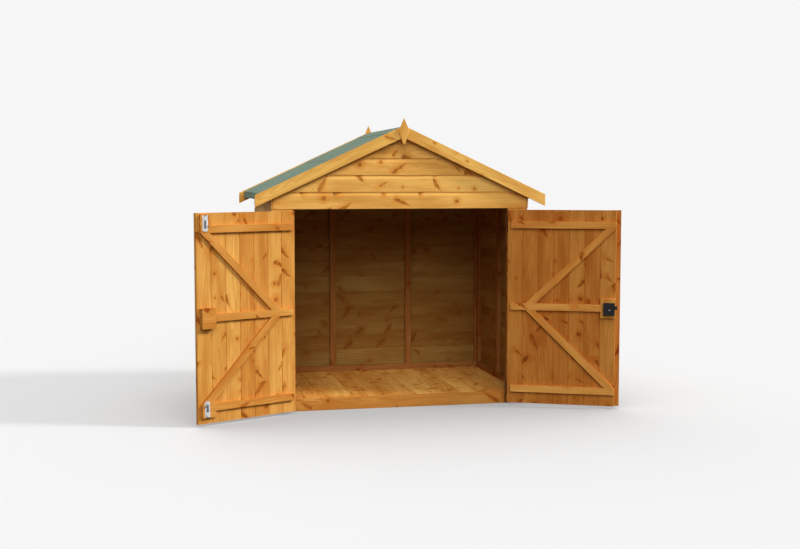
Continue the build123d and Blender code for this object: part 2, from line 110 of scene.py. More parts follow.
class BoardSettings(bpy.types.PropertyGroup):
    door_boards: IntProperty(name="Door boards", description="Upright boards in each door", default=7, min=2)
    floor_boards: IntProperty(name="Floor boards", description="Boards across the floor", default=16, min=2)
    roof_boards: IntProperty(name="Roof boards", description="Boards up each roof slope", default=10, min=2)
    groove: FloatProperty(
        name="Groove", description="Width of the chamfer on each edge of a matched board",
        default=0.003, min=0.0003, max=0.006, unit="LENGTH",
    )
    eased_edge: FloatProperty(
        name="Eased edge", description="Rounding of the sawn timbers' edges",
        default=0.0012, min=0.0002, max=0.004, unit="LENGTH",
    )
    seed: IntProperty(name="Seed", description="Choice of timber for doors, floor and roof", default=5, min=0)


class FeltSettings(bpy.types.PropertyGroup):
    thickness: FloatProperty(
        name="Thickness", description="Thickness of one layer of felt", default=0.0014, min=0.0005, max=0.004,
        unit="LENGTH",
    )
    lap: FloatProperty(
        name="Lap", description="How far the upper strip of felt lies over the lower one",
        default=0.075, min=0.02, max=0.2, unit="LENGTH",
    )
    wave: FloatProperty(
        name="Wave", description="How far the felt lifts off the boards", default=0.0005, min=0, max=0.003,
        unit="LENGTH",
    )
    loose_edge: FloatProperty(
        name="Loose edge", description="How far the turned-down edge stands off the roof boards",
        default=0.0013, min=0, max=0.005, unit="LENGTH",
    )
    nail_pitch: FloatProperty(
        name="Nail pitch", description="Distance between the felt nails", default=0.1, min=0.02, max=0.4,
        unit="LENGTH",
    )


class FixingSettings(bpy.types.PropertyGroup):
    nail_radius: FloatProperty(
        name="Nail head", description="Radius of a nail head", default=0.0024, min=0.001, max=0.006, unit="LENGTH",
    )
    clout_radius: FloatProperty(
        name="Clout head", description="Radius of a felt nail's head",
        default=0.0042, min=0.002, max=0.01, unit="LENGTH",
    )
    screw_radius: FloatProperty(
        name="Screw head", description="Radius of a hinge screw's head",
        default=0.0044, min=0.001, max=0.01, unit="LENGTH",
    )
    head_height: FloatProperty(
        name="Head height", description="How far a nail head stands out of the timber",
        default=0.0005, min=0.0001, max=0.002, unit="LENGTH",
    )


class FinishSettings(bpy.types.PropertyGroup):
    cladding_colour: finish_colour("Cladding", "Colour of the treated wall boards", 252, 198, 103)
    door_colour: finish_colour("Doors", "Colour of the treated door boards", 221, 160, 75)
    # The right door's boards and strips are given a darker, redder colour than the left door's. This is painted shade
    # for the smaller share of light that door gets, so the shut doors show two shades.
    right_shade_door_colour: finish_colour("Right door", "Colour of the right door's boards, cut from redder timber", 210, 141, 62)
    ledge_colour: finish_colour("Ledges", "Colour of the left door's ledges, braces and blocks", 217, 153, 70)
    # The right door's ledges, braces and block are the same timber as the left's but get a lighter colour. This is
    # painted light that lifts them where the lamps leave that door in shade.
    right_shade_ledge_colour: finish_colour("Right ledges", "Colour of the right door's ledges, braces and block", 240, 173, 84)
    trim_colour: finish_colour("Trim", "Colour of the bargeboards and finials", 250, 199, 102)
    frame_colour: finish_colour("Frame", "Colour of the sawn framing", 166, 113, 58)
    floor_colour: finish_colour("Floor", "Colour of the floor boards", 250, 191, 97)
    bearer_colour: finish_colour("Bearers", "Colour of the floor's bearers and front board", 221, 158, 75)
    felt_colour: finish_colour("Felt", "Colour of the felt's mineral grit", 122, 147, 124)


class StageSettings(bpy.types.PropertyGroup):
    lens: FloatProperty(name="Lens", description="Focal length of the camera in millimetres", default=53.79, min=10)
    camera_place: FloatVectorProperty(
        name="Camera", description="Where the camera stands", default=(-1.7903, -8.7553, 1.6323), size=3,
        subtype="TRANSLATION", unit="LENGTH",
    )
    camera_yaw: FloatProperty(
        name="Camera yaw", description="How far the camera looks to the right",
        default=math.radians(12.272), subtype="ANGLE",
    )
    camera_pitch: FloatProperty(
        name="Camera pitch", description="How far the camera looks down", default=math.radians(4.674), subtype="ANGLE",
    )
    key_power: FloatProperty(name="Key light", description="Strength of the main lamp", default=2.45, min=0)
    key_azimuth: FloatProperty(
        name="Key azimuth", description="How far to the right of the front the main lamp stands",
        default=math.radians(72), subtype="ANGLE",
    )
    key_elevation: FloatProperty(
        name="Key elevation", description="How high the main lamp stands", default=math.radians(32), subtype="ANGLE",
    )
    front_power: FloatProperty(
        name="Front light", description="Strength of the soft lamp beside the camera", default=1.68, min=0,
    )
    back_power: FloatProperty(
        name="Back light", description="Strength of the soft lamp behind the shed", default=1.1, min=0,
    )
    top_power: FloatProperty(name="Top light", description="Strength of the soft lamp overhead", default=0.35, min=0)
    fill_power: FloatProperty(name="Fill light", description="Strength of the soft sky", default=0.07, min=0)


# Shapes


def frame_matrix(origin, along, across, through=None):
    """Placing of a board: its grain along X, its width along Y and its thickness along Z."""
    along, across = Vector(along).normalized(), Vector(across).normalized()
    through = Vector(through) if through else along.cross(across)
    matrix = Matrix.Identity(4)
    for column, axis in enumerate((along, across, through)):
        for row in range(3):
            matrix[row][column] = axis[row]
    matrix.translation = Vector(origin)
    return matrix


def solids_of(shape):
    """The separate solids of a mesh, as lists of faces."""
    found, groups = set(), []
    for first in shape.faces:
        if first in found:
            continue
        found.add(first)
        group, front = [], [first]
        while front:
            face = front.pop()
            group.append(face)
            for edge in face.edges:
                for other in edge.link_faces:
                    if other not in found:
                        found.add(other)
                        front.append(other)
        groups.append(group)
    return groups


def mesh_of(name, shape):
    """A mesh made from a finished shape, which is given up."""
    mesh = bpy.data.meshes.new(name)
    shape.to_mesh(mesh)
    shape.free()
    return mesh


def solid_corners(node):
    """The corners of each solid of a node."""
    shape = bmesh.new()
    shape.from_mesh(frame["nodes"][node].data)
    bmesh.ops.remove_doubles(shape, verts=shape.verts, dist=MERGE)
    corners = [[vert.co.copy() for face in group for vert in face.verts] for group in solids_of(shape)]
    shape.free()
    return corners


def timber_axes(group, along):
    """Grain, width and thickness directions of one timber: its longest edge, and its broadest face."""
    if along is None:
        edges = dict.fromkeys(edge for face in group for edge in face.edges)
        longest = max(edges, key=lambda edge: edge.calc_length())
        along = longest.verts[1].co - longest.verts[0].co
    along = Vector(along).normalized()
    broad = max(
        (face for face in group if abs(face.normal.dot(along)) < 0.1), key=lambda face: face.calc_area(),
    )
    through = (broad.normal - along * broad.normal.dot(along)).normalized()
    return along, through.cross(along), through


def timbers(name, nodes, seed, material, edge=None, along=None):
    """The timbers of some solids, with eased edges and each timber's own grain."""
    edge = edge or bpy.context.scene.shelter_boards.eased_edge
    whole = bmesh.new()
    for node in nodes:
        whole.from_mesh(frame["nodes"][node].data)
    for layer in list(whole.loops.layers.uv):
        whole.loops.layers.uv.remove(layer)
    bmesh.ops.remove_doubles(whole, verts=whole.verts, dist=MERGE)
    bmesh.ops.dissolve_limit(whole, angle_limit=0.02, verts=whole.verts, edges=whole.edges)
    whole.normal_update()
    grain = whole.verts.layers.float_vector.new("grain")
    tone = whole.verts.layers.float.new("tone")
    number = whole.faces.layers.int.new("timber")
    axes = []
    for index, group in enumerate(solids_of(whole)):
        axes.append(timber_axes(group, along))
        for face in group:
            face[number] = index
    sharp = [e for e in whole.edges if len(e.link_faces) == 2 and e.calc_face_angle() > 0.3 and e.calc_length() > 0.008]
    bmesh.ops.bevel(whole, geom=sharp, offset=edge, segments=2, profile=0.6, affect="EDGES", clamp_overlap=True)
    for group in solids_of(whole):
        index = max(face[number] for face in group)
        own = axes[index]
        count = seed * 97 + index
        shift = Vector(((count * 7.31) % 50, (count * 3.17) % 50, (count * 5.73) % 50))
        for vert in {vert for face in group for vert in face.verts}:
            vert[grain] = Vector([vert.co.dot(axis) for axis in own]) + shift
            vert[tone] = ((count * 0.61803) % 1.0) * 1.2 - 0.6
    whole.faces.layers.int.remove(whole.faces.layers.int["timber"])
    mesh = mesh_of(name, whole)
    mesh.materials.clear()
    mesh.materials.append(material)
    return shown(name, mesh)


def store_vectors(mesh, name, values):
    layer = mesh.attributes.new(name, "FLOAT_VECTOR", "POINT")
    layer.data.foreach_set("vector", [part for value in values for part in value])


def store_numbers(mesh, name, values):
    layer = mesh.attributes.new(name, "FLOAT", "POINT")
    layer.data.foreach_set("value", values)


def board_mesh(name, profile, length, sawn_shade_from=None):
    """One board: a closed profile of (across, depth) points carried along X. Faces past a depth are marked sawn, and
    painted shade darkens them.
    """
    shape = bmesh.new()
    outline = [shape.verts.new((0, y, z)) for y, z in profile]
    face = shape.faces.new(outline)
    grown = bmesh.ops.extrude_face_region(shape, geom=[face])["geom"]
    bmesh.ops.translate(shape, vec=(length, 0, 0), verts=[v for v in grown if isinstance(v, bmesh.types.BMVert)])
    bmesh.ops.recalc_face_normals(shape, faces=shape.faces)
    mesh = mesh_of(name, shape)
    corners = [vert.co.copy() for vert in mesh.vertices]
    store_vectors(mesh, "grain", corners)
    if sawn_shade_from is not None:
        store_numbers(mesh, "sawn", [float(corner.z > sawn_shade_from) for corner in corners])
    return mesh


# Geometry node trees


class NodeTree:
    """Short way to build a node tree."""

    def __init__(self, tree):
        self.tree = tree

    def add(self, kind, inputs=None, **settings):
        node = self.tree.nodes.new(kind)
        for name, value in settings.items():
            setattr(node, name, value)
        inputs = inputs or {}
        self.fill([node.inputs[name] for name in inputs], inputs.values())
        return node

    def fill(self, sockets, values):
        """Gives each socket its value, or its link where the value is another node's output."""
        for socket, value in zip(sockets, values):
            if isinstance(value, bpy.types.NodeSocket):
                self.tree.links.new(value, socket)
            else:
                socket.default_value = value

    def link(self, output, socket):
        self.tree.links.new(output, socket)

    def maths(self, operation, *values, clamp=False):
        node = self.add("ShaderNodeMath", operation=operation, use_clamp=clamp)
        self.fill(node.inputs, values)
        return node.outputs[0]

    def vector(self, operation, *values):
        node = self.add("ShaderNodeVectorMath", operation=operation)
        self.fill(node.inputs, values)
        return node.outputs["Value"] if operation in ("LENGTH", "DOT_PRODUCT") else node.outputs["Vector"]


def geometry_tree(name, sockets):
    """An empty geometry node tree with a geometry input and output and the named inputs."""
    tree = bpy.data.node_groups.new(name, "GeometryNodeTree")
    tree.interface.new_socket("Geometry", in_out="OUTPUT", socket_type="NodeSocketGeometry")
    tree.interface.new_socket("Geometry", in_out="INPUT", socket_type="NodeSocketGeometry")
    for label, kind, description in sockets:
        socket = tree.interface.new_socket(label, in_out="INPUT", socket_type=kind)
        socket.description = description
    nodes = NodeTree(tree)
    return nodes, nodes.add("NodeGroupInput"), nodes.add("NodeGroupOutput")


def board_run_tree():
    """Lays boards side by side, gives each its own timber and cuts them to the roof line."""
    n, start, end = geometry_tree("Board run", [
        ("Boards", "NodeSocketInt", "How many boards are laid"),
        ("Cover", "NodeSocketFloat", "How far each board lies from the one before"),
        ("Seed", "NodeSocketInt", "Choice of timber"),
        ("Ridge", "NodeSocketFloat", "Height of the roof's underside at the ridge, in board coordinates"),
        ("Fall", "NodeSocketFloat", "Fall of the roof for each metre away from the ridge"),
        ("Centre", "NodeSocketFloat", "Distance along the boards to the ridge"),
        ("Trim ends", "NodeSocketBool", "Cut the boards' ends to the roof line"),
        ("Material", "NodeSocketMaterial", "Finish of the boards"),
    ])
    step = n.add("ShaderNodeCombineXYZ", {"Y": start.outputs["Cover"]})
    line = n.add("GeometryNodeMeshLine", {"Count": start.outputs["Boards"], "Offset": step.outputs[0]}, mode="OFFSET")
    laid = n.add("GeometryNodeInstanceOnPoints", {"Points": line.outputs[0], "Instance": start.outputs["Geometry"]})
    number = n.add("GeometryNodeInputIndex")
    shift = n.add("FunctionNodeRandomValue", {
        "Min": (-50, -50, -50), "Max": (50, 50, 50), "ID": number.outputs[0], "Seed": start.outputs["Seed"],
    }, data_type="FLOAT_VECTOR")
    tone_seed = n.maths("ADD", start.outputs["Seed"], 7.0)
    tone = n.add("FunctionNodeRandomValue", {"ID": number.outputs[0], "Seed": tone_seed}, data_type="FLOAT")
    for socket in tone.inputs:
        if socket.type == "VALUE" and socket.name in ("Min", "Max"):
            socket.default_value = -1.0 if socket.name == "Min" else 1.0
    marked = n.add("GeometryNodeStoreNamedAttribute", {
        "Geometry": laid.outputs[0], "Name": "board_shift", "Value": shift.outputs[0],
    }, data_type="FLOAT_VECTOR", domain="INSTANCE")
    toned = n.add("GeometryNodeStoreNamedAttribute", {
        "Geometry": marked.outputs[0], "Name": "tone",
    }, data_type="FLOAT", domain="INSTANCE")
    tone_out = next(s for s in tone.outputs if s.type == "VALUE")
    n.link(tone_out, toned.inputs["Value"])
    real = n.add("GeometryNodeRealizeInstances", {"Geometry": toned.outputs[0]})
    grain = n.add("GeometryNodeInputNamedAttribute", {"Name": "grain"}, data_type="FLOAT_VECTOR")
    moved = n.add("GeometryNodeInputNamedAttribute", {"Name": "board_shift"}, data_type="FLOAT_VECTOR")
    own = n.vector("ADD", grain.outputs[0], moved.outputs[0])
    grained = n.add("GeometryNodeStoreNamedAttribute", {
        "Geometry": real.outputs[0], "Name": "grain", "Value": own,
    }, data_type="FLOAT_VECTOR", domain="POINT")
    place = n.add("ShaderNodeSeparateXYZ", {"Vector": n.add("GeometryNodeInputPosition").outputs[0]})
    x, y, z = place.outputs
    top = n.maths("MINIMUM", y, start.outputs["Ridge"])
    reach = n.maths("DIVIDE", n.maths("SUBTRACT", start.outputs["Ridge"], top), start.outputs["Fall"])
    off = n.maths("SUBTRACT", x, start.outputs["Centre"])
    cut = n.maths("MULTIPLY", n.maths("SIGN", off), n.maths("MINIMUM", n.maths("ABSOLUTE", off), reach))
    trimmed = n.maths("ADD", cut, start.outputs["Centre"])
    new_x = n.add("GeometryNodeSwitch", {
        "Switch": start.outputs["Trim ends"], "False": x, "True": trimmed,
    }, input_type="FLOAT")
    new_place = n.add("ShaderNodeCombineXYZ", {"X": new_x.outputs[0], "Y": top, "Z": z})
    kept = n.vector("SUBTRACT", new_place.outputs[0], n.add("GeometryNodeInputPosition").outputs[0])
    grain_again = n.add("GeometryNodeInputNamedAttribute", {"Name": "grain"}, data_type="FLOAT_VECTOR")
    grain_cut = n.add("GeometryNodeStoreNamedAttribute", {
        "Geometry": grained.outputs[0], "Name": "grain", "Value": n.vector("ADD", grain_again.outputs[0], kept),
    }, data_type="FLOAT_VECTOR", domain="POINT")
    placed = n.add("GeometryNodeSetPosition", {"Geometry": grain_cut.outputs[0], "Position": new_place.outputs[0]})
    clean = n.add("GeometryNodeRemoveAttribute", {"Geometry": placed.outputs[0], "Name": "board_shift"})
    finished = n.add("GeometryNodeSetMaterial", {"Geometry": clean.outputs[0], "Material": start.outputs["Material"]})
    n.link(finished.outputs[0], end.inputs[0])
    return n.tree


def fixing_tree():
    """Sets a low round head on every point, turned to the point's own direction."""
    n, start, end = geometry_tree("Fixing heads", [
        ("Radius", "NodeSocketFloat", "Radius of a head"),
        ("Height", "NodeSocketFloat", "How far a head stands out"),
        ("Sides", "NodeSocketInt", "Sides of a head's outline"),
        ("Material", "NodeSocketMaterial", "Finish of the heads"),
    ])
    head = n.add("GeometryNodeMeshCone", {
        "Vertices": start.outputs["Sides"], "Radius Bottom": start.outputs["Radius"],
        "Radius Top": n.maths("MULTIPLY", start.outputs["Radius"], 0.72), "Depth": start.outputs["Height"],
    }, fill_type="NGON")
    facing = n.add("GeometryNodeInputNamedAttribute", {"Name": "facing"}, data_type="FLOAT_VECTOR")
    turn = n.add("FunctionNodeAlignRotationToVector", {"Vector": facing.outputs[0]}, axis="Z")
    laid = n.add("GeometryNodeInstanceOnPoints", {
        "Points": start.outputs["Geometry"], "Instance": head.outputs["Mesh"], "Rotation": turn.outputs[0],
    })
    real = n.add("GeometryNodeRealizeInstances", {"Geometry": laid.outputs[0]})
    clean = n.add("GeometryNodeRemoveAttribute", {"Geometry": real.outputs[0], "Name": "facing"})
    finished = n.add("GeometryNodeSetMaterial", {"Geometry": clean.outputs[0], "Material": start.outputs["Material"]})
    n.link(finished.outputs[0], end.inputs[0])
    return n.tree


def tree_named(name, maker):
    return bpy.data.node_groups.get(name) or maker()


def grown(name, mesh, tree, values):
    """A plain mesh made by running a geometry node tree on a mesh."""
    source = bpy.data.objects.new(name + "_source", mesh)
    bpy.context.scene.collection.objects.link(source)
    modifier = source.modifiers.new("made", "NODES")
    modifier.node_group = tree
    for item in tree.interface.items_tree:
        if item.in_out == "INPUT" and item.name in values:
            modifier[item.identifier] = values[item.name]
    graph = bpy.context.evaluated_depsgraph_get()
    result = bpy.data.meshes.new_from_object(
        source.evaluated_get(graph), preserve_all_data_layers=True, depsgraph=graph,
    )
    bpy.data.objects.remove(source)
    result.name = name
    return result


def shown(name, mesh, matrix=None):
    if matrix is not None:
        mesh.transform(matrix)
        if matrix.determinant() < 0:
            mesh.flip_normals()
    piece = bpy.data.objects.new(name, mesh)
    bpy.context.scene.collection.objects.link(piece)
    return piece


def spaced(start, stop, pitch, margin=0.0):
    """Evenly spaced places from start to stop, about a pitch apart."""
    start, stop = start + margin, stop - margin
    count = max(1, round((stop - start) / pitch))
    return [start + (stop - start) * i / count for i in range(count + 1)]


HEAD_SIDES = 10


def fixings(name, places, radius, height, material):
    """Nail or screw heads at (place, facing) pairs."""
    mesh = bpy.data.meshes.new(name + "_places")
    mesh.from_pydata([tuple(Vector(place)) for place, _ in places], [], [])
    store_vectors(mesh, "facing", [Vector(facing) for _, facing in places])
    return shown(name, grown(name + "_heads", mesh, tree_named("Fixing heads", fixing_tree), {
        "Radius": radius, "Height": height, "Sides": HEAD_SIDES, "Material": material,
    }))


# Finishes


def shader(name):
    material = bpy.data.materials.get(name)
    if material:
        return material, None, None
    material = bpy.data.materials.new(name)
    material.use_nodes = True
    nodes = NodeTree(material.node_tree)
    return material, nodes, material.node_tree.nodes["Principled BSDF"]


def colour_mix(n, factor, first, second, blend="MIX"):
    node = n.add("ShaderNodeMix", data_type="RGBA", blend_type=blend)
    n.fill([node.inputs[0], node.inputs[6], node.inputs[7]], [factor, first, second])
    return node.outputs[2]


def bumped(n, surface, height, strength, distance):
    """Gives a finish its relief."""
    bump = n.add("ShaderNodeBump", {"Height": height, "Strength": strength, "Distance": distance})
    n.link(bump.outputs[0], surface.inputs["Normal"])


def shade(colour, factor, saturation=1.0):
    """A colour made lighter or darker, and more or less strong."""
    grey = 0.2126 * colour[0] + 0.7152 * colour[1] + 0.0722 * colour[2]
    return [max(0.0, (grey + (part - grey) * saturation) * factor) for part in colour[:3]] + [1.0]


def deeper(colour, depth):
    """A colour made darker as oiled softwood darkens: towards red."""
    return [colour[0] * (1 - 0.5 * depth), colour[1] * (1 - depth), max(0.0, colour[2] * (1 - 1.35 * depth)), 1.0]


def smooth_step(n, value, start, stop, first=0.0, last=1.0):
    node = n.add("ShaderNodeMapRange", {
        "Value": value, "From Min": start, "From Max": stop, "To Min": first, "To Max": last,
    }, interpolation_type="SMOOTHSTEP")
    return node.outputs[0]


def knotty_softwood(name, colour, knots=1.0, roughness=0.70, figure=1.0):
    """Treated softwood that follows each timber's own grain, with growth rings and knots, and with painted shade on
    faces marked sawn.
    """
    material, n, surface = shader(name)
    if n is None:
        return material
    grain = n.add("ShaderNodeAttribute", attribute_name="grain").outputs["Vector"]
    tone = n.add("ShaderNodeAttribute", attribute_name="tone").outputs["Fac"]
    sawn = n.add("ShaderNodeAttribute", attribute_name="sawn").outputs["Fac"]

    # knots: in some cells of the board, a round one or a slanting spike that widens to one end
    cells = n.add("ShaderNodeTexVoronoi", {"Vector": grain, "Scale": 7.5}, voronoi_dimensions="2D", feature="F1")
    off = n.add("ShaderNodeSeparateXYZ", {"Vector": n.vector("SUBTRACT", grain, cells.outputs["Position"])})
    chance = n.add("ShaderNodeSeparateColor", {"Color": cells.outputs["Color"]})
    dx, dy = off.outputs[0], off.outputs[1]
    rarest = 1.0 - 0.44 * knots
    present = n.maths("GREATER_THAN", chance.outputs[0], rarest)
    spike = n.maths("GREATER_THAN", chance.outputs[1], 0.42)
    way = n.maths("SUBTRACT", n.maths("MULTIPLY", n.maths("GREATER_THAN", chance.outputs[2], 0.5), 2.0), 1.0)
    lean = n.maths("FRACT", n.maths("MULTIPLY", chance.outputs[2], 7.0))
    lean = n.maths("ADD", 0.35, n.maths("MULTIPLY", lean, 0.75))
    slant = n.maths("MULTIPLY", way, lean)
    cosine, sine = n.maths("COSINE", slant), n.maths("SINE", slant)
    wavy = n.add("ShaderNodeTexNoise", {"Vector": grain, "Scale": 55.0, "Detail": 3.0}).outputs["Fac"]
    wavy = n.maths("SUBTRACT", wavy, 0.5)
    long_way = n.maths("ADD", n.maths("MULTIPLY", dx, cosine), n.maths("MULTIPLY", dy, sine))
    short_way = n.maths("SUBTRACT", n.maths("MULTIPLY", dy, cosine), n.maths("MULTIPLY", dx, sine))
    short_way = n.maths("ADD", short_way, n.maths("MULTIPLY", wavy, 0.020))
    ragged = n.add("ShaderNodeTexNoise", {"Vector": grain, "Scale": 190.0, "Detail": 2.0}).outputs["Fac"]
    short_way = n.maths("ADD", short_way, n.maths("MULTIPLY", n.maths("SUBTRACT", ragged, 0.5), 0.011))
    size = smooth_step(n, chance.outputs[0], rarest, 1.0, 0.0052, 0.0155)
    stretch = n.maths("ADD", 1.6, n.maths("MULTIPLY", chance.outputs[1], 2.4))
    stretch = n.maths("ADD", 1.0, n.maths("MULTIPLY", spike, stretch))
    length = n.maths("MULTIPLY", size, stretch)
    a = n.maths("DIVIDE", long_way, length)
    taper = n.maths("ADD", 1.0, n.maths("MULTIPLY", n.maths("MULTIPLY", spike, a), 0.62))
    slimmer = n.maths("SUBTRACT", 1.0, n.maths("MULTIPLY", spike, 0.22))
    width = n.maths("MULTIPLY", n.maths("MULTIPLY", size, n.maths("MAXIMUM", taper, 0.12)), slimmer)
    b = n.maths("DIVIDE", short_way, width)
    round_off = n.maths("SQRT", n.maths("ADD", n.maths("MULTIPLY", a, a), n.maths("MULTIPLY", b, b)))
    core = n.maths("MULTIPLY", smooth_step(n, round_off, 1.2, 0.7), present)
    rim = n.maths("MULTIPLY", smooth_step(n, round_off, 1.4, 1.0), smooth_step(n, round_off, 0.5, 0.95))
    rim = n.maths("MULTIPLY", rim, present)
    halo = n.maths("MULTIPLY", smooth_step(n, round_off, 4.4, 0.9), present)
    flow = n.add("ShaderNodeCombineXYZ", {
        "X": n.maths("MULTIPLY", long_way, 45.0), "Y": n.maths("MULTIPLY", short_way, 420.0),
        "Z": n.maths("MULTIPLY", round_off, 1.5),
    }).outputs[0]
    flame = n.add("ShaderNodeTexNoise", {"Vector": flow, "Scale": 1.0, "Detail": 2.5}).outputs["Fac"]
    rim = n.maths("MULTIPLY", rim, smooth_step(n, ragged, 0.36, 0.58, 0.25, 1.0))

    # pin knots: small dark dots, few and far between
    pins = n.add("ShaderNodeTexVoronoi", {"Vector": grain, "Scale": 16.0}, voronoi_dimensions="2D", feature="F1")
    pin_chance = n.add("ShaderNodeSeparateColor", {"Color": pins.outputs["Color"]}).outputs[0]
    pin_here = n.maths("GREATER_THAN", pin_chance, 1.0 - 0.07 * knots)
    pin = n.maths("MULTIPLY", pin_here, smooth_step(n, pins.outputs["Distance"], 0.06, 0.03))

    # growth rings: level lines of a field stretched along the grain, bent round the knots
    stretched = n.vector("MULTIPLY", grain, (0.6, 14.0, 14.0))
    field = n.add("ShaderNodeTexNoise", {
        "Vector": stretched, "Scale": 1.0, "Detail": 1.2, "Roughness": 0.35,
    }).outputs["Fac"]
    bend = n.maths("DIVIDE", present, n.maths("ADD", 1.0, n.maths("MULTIPLY", round_off, round_off)))
    wander = n.add("ShaderNodeTexNoise", {
        "Vector": n.vector("MULTIPLY", grain, (6.0, 60.0, 60.0)), "Scale": 1.0, "Detail": 2.0,
    }).outputs["Fac"]
    height = n.maths("ADD", n.maths("ADD", field, n.maths("MULTIPLY", bend, 0.13)), n.maths("MULTIPLY", wander, 0.02))
    rings = n.maths("FRACT", n.maths("MULTIPLY", height, 20.0))
    late = n.maths("MULTIPLY", smooth_step(n, rings, 0.2, 0.86), smooth_step(n, rings, 1.0, 0.9))

    fibre = n.add("ShaderNodeTexNoise", {
        "Vector": n.vector("MULTIPLY", grain, (18.0, 520.0, 520.0)), "Scale": 1.0, "Detail": 2.0,
    }).outputs["Fac"]
    cloud = n.add("ShaderNodeTexNoise", {
        "Vector": n.vector("MULTIPLY", grain, (2.2, 14.0, 14.0)), "Scale": 1.0, "Detail": 3.0,
    }).outputs["Fac"]

    wood = colour_mix(n, smooth_step(n, cloud, 0.3, 0.72), shade(colour, 1.13, 0.98), deeper(colour, 0.30))
    wood = colour_mix(n, n.maths("MULTIPLY", late, 0.42 * figure), wood, deeper(colour, 0.48))
    wood = colour_mix(n, n.maths("MULTIPLY", smooth_step(n, fibre, 0.5, 0.8), 0.25), wood, deeper(colour, 0.35))
    red = [colour[0] * 0.88, colour[1] * 0.58, colour[2] * 0.38, 1.0]
    wood = colour_mix(n, n.maths("MULTIPLY", halo, 0.7), wood, red)
    brown = [colour[0] * 0.30, colour[1] * 0.15, colour[2] * 0.08, 1.0]
    dark = [colour[0] * 0.20, colour[1] * 0.11, colour[2] * 0.07, 1.0]
    orange = [colour[0] * 0.74, colour[1] * 0.43, colour[2] * 0.24, 1.0]
    heart = colour_mix(n, smooth_step(n, flame, 0.40, 0.60), brown, orange)
    depth = smooth_step(n, chance.outputs[2], 0.0, 1.0, 0.65, 1.0)
    depth = n.maths("MULTIPLY", depth, n.maths("SUBTRACT", 1.0, n.maths("MULTIPLY", sawn, 0.55)))
    wood = colour_mix(n, n.maths("MULTIPLY", core, depth), wood, heart)
    edge = n.maths("MULTIPLY", depth, n.maths("ADD", 0.35, n.maths("MULTIPLY", spike, 0.4)))
    wood = colour_mix(n, n.maths("MULTIPLY", rim, edge), wood, dark)
    wood = colour_mix(n, n.maths("MULTIPLY", pin, 0.8), wood, dark)
    # Faces marked sawn are the backs of the cladding, inside the shed. They are darkened to about a fifth: a little for
    # rough sawn timber, and mostly as painted shade for the dark inside of the shed.
    sawn_side_painted_shade = colour_mix(n, 1.0, wood, (0.24, 0.23, 0.22, 1.0), "MULTIPLY")
    wood = colour_mix(n, n.maths("MULTIPLY", sawn, 0.85), wood, sawn_side_painted_shade)
    tint = n.add("ShaderNodeCombineColor")
    for socket, strength in zip(tint.inputs, (0.10, 0.21, 0.32)):
        n.link(n.maths("ADD", 1.0, n.maths("MULTIPLY", tone, strength)), socket)
    n.link(colour_mix(n, 1.0, wood, tint.outputs[0], "MULTIPLY"), surface.inputs["Base Color"])

    worn = n.maths("ADD", roughness, n.maths("MULTIPLY", n.maths("SUBTRACT", fibre, 0.5), 0.16))
    n.link(n.maths("SUBTRACT", worn, n.maths("MULTIPLY", late, 0.07)), surface.inputs["Roughness"])
    surface.inputs["Specular IOR Level"].default_value = 0.04
    relief = n.maths("ADD", n.maths("MULTIPLY", late, 0.5), n.maths("MULTIPLY", fibre, 0.35))
    relief = n.maths("ADD", relief, n.maths("MULTIPLY", core, 0.6))
    bumped(n, surface, relief, 0.28, 0.0007)
    return material


def mineral_felt(name, colour):
    """Bitumen felt with a coat of fine mineral grit."""
    material, n, surface = shader(name)
    if n is None:
        return material
    place = n.add("ShaderNodeTexCoord").outputs["Object"]
    grit = n.add("ShaderNodeTexVoronoi", {"Vector": place, "Scale": 620.0}, feature="F1")
    patch = n.add("ShaderNodeTexNoise", {"Vector": place, "Scale": 3.2, "Detail": 3.0}).outputs["Fac"]
    speck = n.add("ShaderNodeSeparateColor", {"Color": grit.outputs["Color"]}).outputs[0]
    base = colour_mix(n, smooth_step(n, patch, 0.35, 0.7), shade(colour, 1.08), shade(colour, 0.86))
    base = colour_mix(n, smooth_step(n, speck, 0.1, 0.95), shade(colour, 0.62), base)
    base = colour_mix(n, smooth_step(n, speck, 0.86, 0.97), base, shade(colour, 1.5, 0.6))
    n.link(base, surface.inputs["Base Color"])
    surface.inputs["Roughness"].default_value = 0.92
    surface.inputs["Specular IOR Level"].default_value = 0.25
    lumps = n.maths("MULTIPLY", grit.outputs["Distance"], 0.6)
    bumped(n, surface, lumps, 0.5, 0.0008)
    return material


def zinc_plate(name, dark=(208, 211, 214), light=(232, 234, 236)):
    """Zinc with a faint spangle."""
    material, n, surface = shader(name)
    if n is None:
        return material
    place = n.add("ShaderNodeTexCoord").outputs["Object"]
    spangle = n.add("ShaderNodeTexVoronoi", {"Vector": place, "Scale": 160.0}, feature="F1")
    tint = n.add("ShaderNodeSeparateColor", {"Color": spangle.outputs["Color"]}).outputs[0]
    n.link(colour_mix(n, tint, linear(*dark), linear(*light)), surface.inputs["Base Color"])
    surface.inputs["Metallic"].default_value = 0.85
    n.link(smooth_step(n, tint, 0.0, 1.0, 0.30, 0.44), surface.inputs["Roughness"])
    return material


def rod_shaded_steel(name):
    """Drawn steel of the bolts' rods, darker than their plates: partly the bare steel's own colour, partly painted
    shade for the shadow along the rod.
    """
    material, n, surface = shader(name)
    if n is None:
        return material
    place = n.add("ShaderNodeTexCoord").outputs["Object"]
    drawn = n.add("ShaderNodeTexNoise", {
        "Vector": n.vector("MULTIPLY", place, (900.0, 900.0, 40.0)), "Scale": 1.0, "Detail": 2.0,
    }).outputs["Fac"]
    # This darker steel is partly the bare rod's own colour and partly painted shade for the shadow along the rod.
    steel = colour_mix(n, smooth_step(n, drawn, 0.3, 0.7), linear(98, 95, 98), linear(134, 131, 132))
    n.link(steel, surface.inputs["Base Color"])
    surface.inputs["Metallic"].default_value = 0.9
    n.link(smooth_step(n, drawn, 0.3, 0.7, 0.34, 0.5), surface.inputs["Roughness"])
    return material


